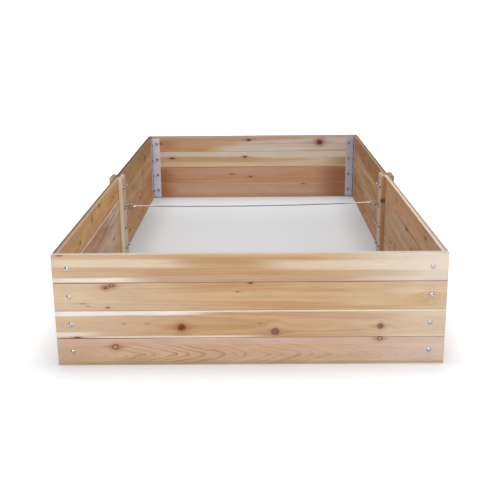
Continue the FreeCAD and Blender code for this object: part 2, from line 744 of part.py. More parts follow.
def eye_bolt(name, sign, upright):
    ring = doc.addObject("Part::Torus", name + "_ring")
    ring.setExpression("Radius1", D + "eye_ring")
    ring.setExpression("Radius2", "Dims.eye_wire / 2")
    ring.Placement = Placement(
        Vector(0, 0, 0),
        Rotation(Vector(1, 0, 0), 90 if upright else 0).multiply(Rotation(Vector(0, 0, 1), 90)),
    )
    shank = doc.addObject("Part::Cylinder", name + "_shank")
    shank.setExpression("Radius", "Dims.eye_wire / 2")
    shank.setExpression("Height", "Dims.eye_long - Dims.eye_ring - Dims.tip_chamfer")
    shank.Placement = Placement(Vector(0, 0, 0), Rotation(Vector(0, 1, 0), 90 * sign))
    shank.setExpression("Placement.Base.x", "%d * Dims.eye_ring" % sign)
    tip = doc.addObject("Part::Cone", name + "_tip")
    tip.setExpression("Radius1", "Dims.eye_wire / 2")
    tip.setExpression("Radius2", "Dims.eye_wire / 2 - Dims.tip_chamfer")
    tip.setExpression("Height", D + "tip_chamfer")
    tip.Placement = Placement(Vector(0, 0, 0), Rotation(Vector(0, 1, 0), 90 * sign))
    tip.setExpression("Placement.Base.x", "%d * (Dims.eye_long - Dims.tip_chamfer)" % sign)
    # A short cone is the forged shoulder between ring and shank.
    shoulder = doc.addObject("Part::Cone", name + "_shoulder")
    shoulder.setExpression("Radius1", "Dims.eye_wire / 2 + 1.1")
    shoulder.setExpression("Radius2", "Dims.eye_wire / 2")
    shoulder.Height = 5.0
    shoulder.Placement = Placement(Vector(0, 0, 0), Rotation(Vector(0, 1, 0), 90 * sign))
    shoulder.setExpression("Placement.Base.x", "%d * (Dims.eye_ring + 0.6)" % sign)
    whole = doc.addObject("Part::MultiFuse", name)
    whole.Label = name
    whole.Shapes = [ring, shank, tip, shoulder]
    whole.Refine = True
    whole.setExpression(
        "Placement.Base.x", "%d * (%s - Dims.eye_reach)" % (sign, INNER_FACE)
    )
    whole.setExpression("Placement.Base.z", EYE_Z)
    return whole


kept.append(eye_bolt("left_eye_bolt", -1, True))
kept.append(eye_bolt("right_eye_bolt", 1, False))
for side, sx in (("left", -1), ("right", 1)):
    inwards, outwards = ("+X", "-X") if sx < 0 else ("-X", "+X")
    z = EYE_Z
    group(
        side + "_eye_bolt_washers",
        [
            repeat(washer_pattern, side + "_eye_inner_washer", inwards, 0, "%d * (%s)" % (sx, INNER_FACE), "0", z),
            repeat(washer_pattern, side + "_eye_outer_washer", outwards, 0, "%d * (%s)" % (sx, OUTER_FACE), "0", z),
        ],
    )
    group(
        side + "_eye_bolt_nuts",
        [
            repeat(
                nut_pattern, side + "_eye_inner_nut", inwards, 18,
                "%d * (%s - Dims.washer_thick)" % (sx, INNER_FACE), "0", z,
            ),
            repeat(
                nut_pattern, side + "_eye_outer_nut", outwards, 43,
                "%d * (%s + Dims.washer_thick)" % (sx, OUTER_FACE), "0", z,
            ),
        ],
    )


def tie_path():
    """Loop, shallow arc, loop: tangent arcs in one wire. A loop stops short of the straight bar."""
    loop, sag = dim("rod_loop"), dim("rod_sag")
    # Each loop is drawn inwards against its ring, with a little play left between them.
    left_centre = Vector(-(eye_x - dim("eye_ring") - 2.7), 0, eye_z - 1.2)
    right_centre = Vector(eye_x - dim("eye_ring") - 2.6, 0, eye_z + 0.9)
    left = left_centre + Vector(0, loop, 0)
    right = right_centre + Vector(0, 0, loop)
    middle = (left + right) * 0.5 - Vector(0, 0, sag)
    bar = Part.Arc(left, middle, right).toShape()
    edges = [bar]
    for point, centre, start in ((left, left_centre, True), (right, right_centre, False)):
        parameter = bar.FirstParameter if start else bar.LastParameter
        out = bar.tangentAt(parameter)
        out = (out * -1 if start else out).normalize()
        side = centre - point
        side = (side - out * side.dot(out)).normalize()
        true_centre = point + side * loop

        def on_loop(degrees):
            angle = math.radians(degrees)
            return true_centre + out * (loop * math.sin(angle)) - side * (loop * math.cos(angle))

        sweep = 286.0
        edges.append(Part.Arc(on_loop(0), on_loop(sweep / 2), on_loop(sweep)).toShape())
    return Part.Wire(Part.sortEdges(edges)[0])


path = doc.addObject("Part::Feature", "tie_rod_path")
path.Shape = tie_path()
start = path.Shape.OrderedEdges[0]
forwards = start.Orientation == "Forward"
at = start.FirstParameter if forwards else start.LastParameter
section = doc.addObject("Part::Circle", "tie_rod_section")
section.setExpression("Radius", "Dims.rod_wire / 2")
section.Placement = Placement(start.valueAt(at), Rotation(Vector(0, 0, 1), start.tangentAt(at)))
tie_rod = doc.addObject("Part::Sweep", "tie_rod")
tie_rod.Label = "tie_rod"
tie_rod.Sections = [section]
tie_rod.Spine = (path, ["Edge%d" % (i + 1) for i in range(len(path.Shape.Edges))])
tie_rod.Solid = True
tie_rod.Frenet = False
kept.append(tie_rod)
doc.recompute()

length = path.Shape.Length
expected = length * math.pi * dim("rod_wire") ** 2 / 4
print("tie rod: path %.1f mm, volume %.1f, section times length %.1f" % (length, tie_rod.Shape.Volume, expected))
assert abs(tie_rod.Shape.Volume / expected - 1) < 0.01

# ------------------------------------------------------------ check, write
bad = [o.Name for o in doc.Objects if "Invalid" in o.State or "Error" in o.State]
assert not bad, bad
names = [o.Label for o in kept]
assert len(names) == len(set(names)) <= 60
os.makedirs("parts", exist_ok=True)
for old in os.listdir("parts"):
    if old.endswith(".step"):
        os.remove(os.path.join("parts", old))
solids = 0
for obj in kept:
    shape = obj.Shape
    assert not shape.isNull() and shape.isValid(), obj.Label
    assert shape.Solids and all(s.isClosed() and s.Volume > 0 for s in shape.Solids), obj.Label
    solids += len(shape.Solids)
for obj in kept:
    obj.Shape.exportStep("parts/%s.step" % obj.Label)
print("%d nodes, %d solids" % (len(kept), solids))
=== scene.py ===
import math
import random

import bmesh
import bpy
from mathutils import Matrix, Vector


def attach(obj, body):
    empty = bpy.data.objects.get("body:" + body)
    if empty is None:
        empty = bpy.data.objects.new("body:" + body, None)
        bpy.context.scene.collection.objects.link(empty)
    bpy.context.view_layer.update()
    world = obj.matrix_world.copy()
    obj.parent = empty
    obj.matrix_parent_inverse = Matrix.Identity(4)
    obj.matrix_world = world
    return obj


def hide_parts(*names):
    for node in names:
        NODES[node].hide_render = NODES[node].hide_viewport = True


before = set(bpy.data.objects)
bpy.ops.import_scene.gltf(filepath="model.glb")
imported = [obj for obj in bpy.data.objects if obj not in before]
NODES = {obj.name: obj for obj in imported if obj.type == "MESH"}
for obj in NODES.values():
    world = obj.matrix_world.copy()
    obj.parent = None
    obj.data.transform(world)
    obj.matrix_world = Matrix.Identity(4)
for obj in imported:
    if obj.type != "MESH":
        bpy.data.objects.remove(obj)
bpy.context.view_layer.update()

SCENE = bpy.context.scene


# ------------------------------------------------------------------ colours
def lin(r, g, b):
    """Display colour, 0 to 255, as linear light."""
    out = []
    for v in (r, g, b):
        v /= 255
        out.append(v / 12.92 if v <= 0.04045 else ((v + 0.055) / 1.055) ** 2.4)
    return tuple(out) + (1.0,)


# -------------------------------------------------- a small node vocabulary
class Val:
    """A float or colour socket, with arithmetic that makes Math nodes."""

    def __init__(self, graph, socket):
        self.g, self.s = graph, socket

    def __add__(self, o):
        return self.g.math("ADD", self, o)

    def __radd__(self, o):
        return self.g.math("ADD", o, self)

    def __sub__(self, o):
        return self.g.math("SUBTRACT", self, o)

    def __rsub__(self, o):
        return self.g.math("SUBTRACT", o, self)

    def __mul__(self, o):
        return self.g.math("MULTIPLY", self, o)

    def __rmul__(self, o):
        return self.g.math("MULTIPLY", o, self)

    def __truediv__(self, o):
        return self.g.math("DIVIDE", self, o)

    def abs(self):
        return self.g.math("ABSOLUTE", self)

    def sqrt(self):
        return self.g.math("SQRT", self)

    def exp(self):
        return self.g.math("EXPONENT", self)

    def fract(self):
        return self.g.math("FRACT", self)

    def sin(self):
        return self.g.math("SINE", self)

    def max(self, o):
        return self.g.math("MAXIMUM", self, o)

    def min(self, o):
        return self.g.math("MINIMUM", self, o)

    def over(self, o):
        return self.g.math("GREATER_THAN", self, o)


class Graph:
    def __init__(self, name):
        self.m = bpy.data.materials.new(name)
        self.m.use_nodes = True
        self.t = self.m.node_tree
        self.t.nodes.clear()
        self.out = self.t.nodes.new("ShaderNodeOutputMaterial")

    def link(self, value, socket):
        if isinstance(value, Val):
            self.t.links.new(value.s, socket)
        else:
            socket.default_value = value

    def node(self, kind, **props):
        n = self.t.nodes.new(kind)
        for k, v in props.items():
            setattr(n, k, v)
        return n

    def math(self, op, a, b=None, c=None, clamp=False):
        n = self.node("ShaderNodeMath", operation=op, use_clamp=clamp)
        for i, v in enumerate((a, b, c)):
            if v is not None:
                self.link(v, n.inputs[i])
        return Val(self, n.outputs[0])

    def xyz(self, x, y, z):
        n = self.node("ShaderNodeCombineXYZ")
        for i, v in enumerate((x, y, z)):
            self.link(v, n.inputs[i])
        return Val(self, n.outputs[0])

    def split(self, vector):
        n = self.node("ShaderNodeSeparateXYZ")
        self.link(vector, n.inputs[0])
        return [Val(self, n.outputs[i]) for i in range(3)]

    def object_xyz(self):
        n = self.node("ShaderNodeTexCoord")
        return Val(self, n.outputs["Object"])

    def normal_xyz(self):
        return Val(self, self.node("ShaderNodeNewGeometry").outputs["Normal"])

    def noise(self, vector, scale=1.0, detail=2.0, rough=0.5, distort=0.0):
        n = self.node("ShaderNodeTexNoise")
        self.link(vector, n.inputs["Vector"])
        n.inputs["Scale"].default_value = scale
        n.inputs["Detail"].default_value = detail
        n.inputs["Roughness"].default_value = rough
        n.inputs["Distortion"].default_value = distort
        return Val(self, n.outputs[0])

    def voronoi(self, vector, scale, feature="F1", output="Distance", rand=1.0):
        n = self.node("ShaderNodeTexVoronoi", feature=feature)
        self.link(vector, n.inputs["Vector"])
        n.inputs["Scale"].default_value = scale
        n.inputs["Randomness"].default_value = rand
        return Val(self, n.outputs[output])

    def step(self, value, low, high, to_low=0.0, to_high=1.0):
        """Smooth step from low to high."""
        n = self.node("ShaderNodeMapRange", interpolation_type="SMOOTHSTEP")
        self.link(value, n.inputs["Value"])
        for name, v in (("From Min", low), ("From Max", high), ("To Min", to_low), ("To Max", to_high)):
            self.link(v, n.inputs[name])
        return Val(self, n.outputs["Result"])

    def mix(self, fac, a, b, blend="MIX"):
        n = self.node("ShaderNodeMix", data_type="RGBA", blend_type=blend, clamp_factor=True)
        self.link(fac, n.inputs[0])
        self.link(a, n.inputs[6])
        self.link(b, n.inputs[7])
        return Val(self, n.outputs[2])

    def ramp(self, fac, stops):
        n = self.node("ShaderNodeValToRGB")
        self.link(fac, n.inputs[0])
        r = n.color_ramp
        r.elements[0].position, r.elements[0].color = stops[0]
        r.elements[1].position, r.elements[1].color = stops[-1]
        for p, c in stops[1:-1]:
            r.elements.new(p).color = c
        return Val(self, n.outputs[0])

    def gain(self, colour, factor):
        """A colour times a float."""
        n = self.node("ShaderNodeVectorMath", operation="SCALE")
        self.link(colour if isinstance(colour, Val) else colour[:3], n.inputs[0])
        self.link(factor, n.inputs["Scale"])
        return Val(self, n.outputs[0])

    def bump(self, height, strength, distance, normal=None):
        n = self.node("ShaderNodeBump")
        n.inputs["Strength"].default_value = strength
        n.inputs["Distance"].default_value = distance
        self.link(height, n.inputs["Height"])
        if normal is not None:
            self.link(normal, n.inputs["Normal"])
        return Val(self, n.outputs[0])

    def surface(self, colour, rough, normal=None, metallic=0.0, specular=0.5):
        n = self.node("ShaderNodeBsdfPrincipled")
        self.link(colour, n.inputs["Base Color"])
        self.link(rough, n.inputs["Roughness"])
        n.inputs["Metallic"].default_value = metallic
        n.inputs["Specular IOR Level"].default_value = specular
        if normal is not None:
            self.link(normal, n.inputs["Normal"])
        self.t.links.new(n.outputs[0], self.out.inputs[0])
        return self.m


# ------------------------------------------------------------------- cedar
def gauss(g, x, width):
    """exp(-(x/width)^2)"""
    q = x / width
    return (q * q * -1.0).exp()


KNOTS = {
    # heart, rim, halo, where the knot starts and ends to fade, halo's strength and reach
    "red": (lin(112, 52, 34), lin(130, 68, 44), lin(188, 122, 82), 0.50, 1.42, 0.60, 2.8),
    "brown": (lin(134, 86, 54), lin(120, 72, 44), lin(182, 130, 88), 0.40, 1.35, 0.50, 3.2),
    "ring": (lin(196, 150, 106), lin(108, 66, 40), lin(190, 132, 88), 0.85, 1.32, 0.60, 3.4),
    "grey": (lin(150, 108, 86), lin(122, 84, 66), lin(188, 144, 112), 0.72, 1.32, 0.45, 2.3),
    "dark": (lin(62, 36, 22), lin(74, 44, 26), lin(152, 102, 66), 0.50, 1.35, 0.50, 3.0),
    "pale": (lin(178, 128, 86), lin(166, 114, 74), lin(202, 158, 114), 0.40, 1.40, 0.45, 3.2),
}


def cedar(name, axes, seed, tone, late, light, pith, knots=(), bands=(), bleach=(), faces=(), top=None,
          spacing=0.0042, taper=0.0, sharp=0.25, contrast=0.55, figure=1.0, wave=1.0, streak=1.0,
          edge_bands=False, shadows=(), shadow_face=("Y", -1), curl=None, mottle=0.0, grade=(1.0, 1.0, 1.0),
          outward=None):
    """One board's wood, sawn from a log.
    axes: which of X, Y, Z runs along the board, across its face and through it.
    tone, late, light: heartwood, its darker latewood, and its palest wood.
    pith: (across, through, tilt, at): where the log's heart lies, how it leans and where it is nearest.
    taper: how fast the log grows thinner, which draws pointed arches on the face.
    knots: (along, across, radius, stretch, kind).
    bands: (along from, along to, across at each end, half width, colour, strength).
    bleach: (along from, along to, colour, strength), a painted sheen, the board paler toward one end.
    shadows: darker wood and painted shade by the rear corners, drawn like bands on one face only. curl: an oval of
    curly figure.
    faces: (axis, sign, colour, strength), the tint of one face. top: (inner edge, outer edge, colours, start).
    grade: a factor on the finished colour, but not on the outer face (axis, sign), if one is given."""
    g = Graph(name)
    rnd = random.Random(seed)
    off = [rnd.uniform(-40, 40) for _ in range(12)]
    p = g.split(g.object_xyz())
    a = p["XYZ".index(axes[0])]
    h = p["XYZ".index(axes[1])]
    d = p["XYZ".index(axes[2])]

    def field(sa, sh, sd, i, detail=2.0, rough=0.5, distort=0.0):
        v = g.xyz(a * sa + off[i % 12], h * sh + off[(i + 3) % 12], d * sd + off[(i + 7) % 12])
        return g.noise(v, 1.0, detail, rough, distort)

    # The grain wanders slowly along the board and is pushed aside round each knot.
    slow = field(1.3, 7.0, 7.0, 0, 2.0)
    quick = field(6.0, 38.0, 38.0, 1, 2.5)
    hw = h + (slow - 0.5) * (0.030 * wave) + (quick - 0.5) * (0.0042 * wave)
    wob = (field(110.0, 110.0, 30.0, 2, 3.0, 0.6) - 0.5) * 0.85 if knots else None
    marks = []
    for ka, kh, kr, stretch, kind in knots:
        dx = a - ka
        dy = h - kh
        push = gauss(g, dx, kr * (2.0 + stretch)) * gauss(g, dy, kr * 3.2)
        hw = hw - dy * push * 0.80
        ex = dx / (kr * stretch)
        ey = dy / kr
        rho = (ex * ex + ey * ey).sqrt() + wob
        wing = (ex * ex * 0.055 + ey * ey * 1.3).sqrt() + wob * 0.6
        marks.append((rho, wing, kind))
    pa, pd, tilt, at = pith
    ry = hw - pa
    rz = d - pd + (a - at) * tilt
    r = (ry * ry + rz * rz).sqrt()
    if taper:
        r = r + (a - at) * taper + (field(9.0, 30.0, 30.0, 5, 3.0) - 0.5) * 0.020
    r = r + (field(2.2, 18.0, 18.0, 4, 2.0) - 0.5) * 0.006 * figure
    phase = r / spacing + (g.noise(g.xyz(r * 55.0 + off[5], off[6], off[7]), 1.0, 2.0) - 0.5) * 3.0
    f = phase.fract()
    ring = g.step(f, sharp, 0.86) * (1.0 - g.step(f, 0.90, 1.0))
    year = g.noise(g.xyz(r * (0.42 / spacing) + off[8], off[9], 0.5), 1.0, 1.0)
    ring_power = g.step(year, 0.35, 0.75, 0.25, 1.0)

    # Fine fibres, thin grain lines, short flecks and wide soft streaks.
    fibre = field(22.0, 900.0, 900.0, 3, 3.0, 0.6)
    lines = field(2.6, 300.0, 300.0, 7, 3.0, 0.6)
    fleck = field(46.0, 1300.0, 1300.0, 6, 1.0)
    broad = field(0.9, 22.0, 22.0, 8, 3.0, 0.55, 0.4)
    zone = field(1.7, 9.0, 9.0, 9, 2.0)
    blotch = field(7.0, 26.0, 26.0, 10, 3.0, 0.55, 0.6)

    warm = tuple(min(1.0, c * k) for c, k in zip(tone[:3], (1.02, 0.90, 0.80))) + (1.0,)
    colour = g.mix(g.step(broad, 0.36, 0.66), tone, light)
    colour = g.mix(g.step(zone, 0.45, 0.75) * 0.55, colour, warm)
    colour = g.mix(ring * ring_power * contrast, colour, late)

    def banded(colour, stripes, where=None):
        for a0, a1, h0, h1, width, tint, power in stripes:
            line = (a - a0) * ((h1 - h0) / (a1 - a0)) + h0
            # A seam's painted shadow is straight; a wider band, of paler or darker wood, painted shade or painted
            # highlight, wanders with the grain.
            loose = 0.0 if width < 0.002 else 1.0
            away = h - line
            if loose:
                away = away + (slow - 0.5) * 0.010 + (quick - 0.5) * 0.005
            mask = 1.0 - g.step(away.abs(), width * 0.55, width * 1.3)
            soft = min(0.08, abs(a1 - a0) * 0.5)
            mask = mask * g.step(a, a0 - soft, a0 + soft) * (1.0 - g.step(a, a1 - soft, a1 + soft))
            if where is not None:
                mask = mask * where
            colour = g.mix(mask * power, colour, tint)
        return colour

    n = g.split(g.normal_xyz())
    if mottle:
        pinker = g.step(field(5.0, 24.0, 24.0, 11, 3.0, 0.6), 0.46, 0.66) * mottle
        colour = g.mix(pinker, colour, (1.05, 0.93, 0.92, 1.0), "MULTIPLY")
        greener = g.step(field(3.4, 17.0, 17.0, 2, 3.0, 0.6, 0.5), 0.50, 0.68) * mottle
        colour = g.mix(greener, colour, (0.98, 1.02, 0.86, 1.0), "MULTIPLY")
    # Painted sheen: toward their ends the boards are paler, where the soft light glances off them.
    for a0, a1, tint, power in bleach:
        colour = g.mix(g.step(a, a0, a1) * (0.72 + lines * 0.56) * power, colour, tint)
    if not edge_bands:
        colour = banded(colour, bands)
    if curl:
        ca, ch, wa, wh, power = curl
        away = (((a - ca) / wa) * ((a - ca) / wa) + ((h - ch) / wh) * ((h - ch) / wh)).sqrt()
        near = (1.0 - g.step(away + (blotch - 0.5) * 1.4, 0.35, 1.05)) * power
        ripple = (a * 520.0 + h * 420.0 + field(60.0, 60.0, 60.0, 3, 3.0, 0.6) * 26.0).sin() * 0.5 + 0.5
        colour = g.mix(near, colour, g.mix(ripple, lin(190, 146, 84), lin(230, 204, 160)))
    # Painted shade, over somewhat darker wood, by the rear corners, on the inner face only.
    if shadows:
        face = g.step(n["XYZ".index(shadow_face[0])] * shadow_face[1], 0.72, 0.97)
        colour = banded(colour, shadows, face)
    shade = (fibre - 0.5) * (0.34 * streak) + (blotch - 0.5) * 0.26 * figure + 1.0
    shade = shade - g.step(fleck, 0.66, 0.78) * 0.13 * streak
    shade = shade - g.step(lines, 0.50, 0.72) * 0.11 * streak
    colour = g.gain(colour, shade)

    raised = None
    for rho, wing, kind in marks:
        heart, rim, halo, start, end, glow, reach = KNOTS[kind]
        colour = g.mix((1.0 - g.step(rho, 0.9, reach)) * glow, colour, halo)
        colour = g.mix((1.0 - g.step(wing, 0.4, 1.5)) * (0.08 + lines * 0.30), colour, rim)
        turns = (rho * 9.0).sin() * 0.5 + 0.5
        inside = g.mix(turns * 0.35, heart, rim)
        inside = g.mix(g.step(rho, 0.55, 0.85), inside, rim)
        solid = 1.0 - g.step(rho, start, end)
        colour = g.mix(solid, colour, inside)
        raised = solid if raised is None else raised + solid

    # Each face may have its own tint (on the left inner batten, painted light), and the upper faces turn from pale
    # toward grey at the outer edge.
    for axis, sign, tint, power in faces:
        mask = g.step(n["XYZ".index(axis)] * sign, 0.72, 0.97) * power
        colour = g.mix(mask, colour, g.gain(tint, shade))
    if edge_bands:
        colour = banded(colour, bands)
    if top:
        inner, outer, pale, grey, start = top
        up = g.step(n[2], 0.45, 0.9)
        half = inner + (outer - inner) * start
        top_tone = g.mix(g.step(d, half, outer) * (0.70 + blotch * 0.8), pale, grey)
        colour = g.mix(up * 0.92, colour, g.gain(top_tone, shade))

    # Sawn ends are darker and rougher than the planed faces.
    sawn = g.step(n["XYZ".index(axes[0])].abs(), 0.6, 0.9)
    saw_lines = g.noise(g.xyz(d * 260.0 + off[1], h * 3200.0 + off[2], off[4]), 1.0, 2.0)
    colour = g.mix(sawn * 0.42, colour, g.gain(late, 0.80 + saw_lines * 0.35))
    if grade != (1.0, 1.0, 1.0):
        reach = 1.0 - g.step(n["XYZ".index(outward[0])] * outward[1], 0.4, 0.8) if outward else 1.0
        colour = g.mix(reach, colour, tuple(grade) + (1.0,), "MULTIPLY")

    height = fibre * 0.55 + ring * ring_power * 0.35 + lines * 0.4 + (field(9.0, 120.0, 120.0, 11, 2.0) * 0.5)
    height = height + sawn * saw_lines * 2.0
    if raised is not None:
        height = height + raised * 0.8
    normal = g.bump(height, 0.55, 0.00045)
    rough = g.step(fibre, 0.3, 0.7, 0.70, 0.56)
    return g.surface(colour, rough, normal, specular=0.28)


def board_axes(node):
    if "batten" in node:
        return ("Z", "Y", "X")
    if node.startswith(("front_board", "back_board")):
        return ("X", "Z", "Y")
    return ("Y", "Z", "X")


TAN = lin(208, 171, 128)
TAN_LATE = lin(178, 134, 92)
TAN_LIGHT = lin(220, 189, 150)
PINK = lin(206, 167, 141)
PINK_LATE = lin(180, 128, 98)
PINK_LIGHT = lin(216, 184, 162)
CREAM = lin(236, 218, 196)
FY, BY = -1.2192, 1.2192
FRONT_D = FY          # Y of the outer face of the front boards
BACK_D = BY
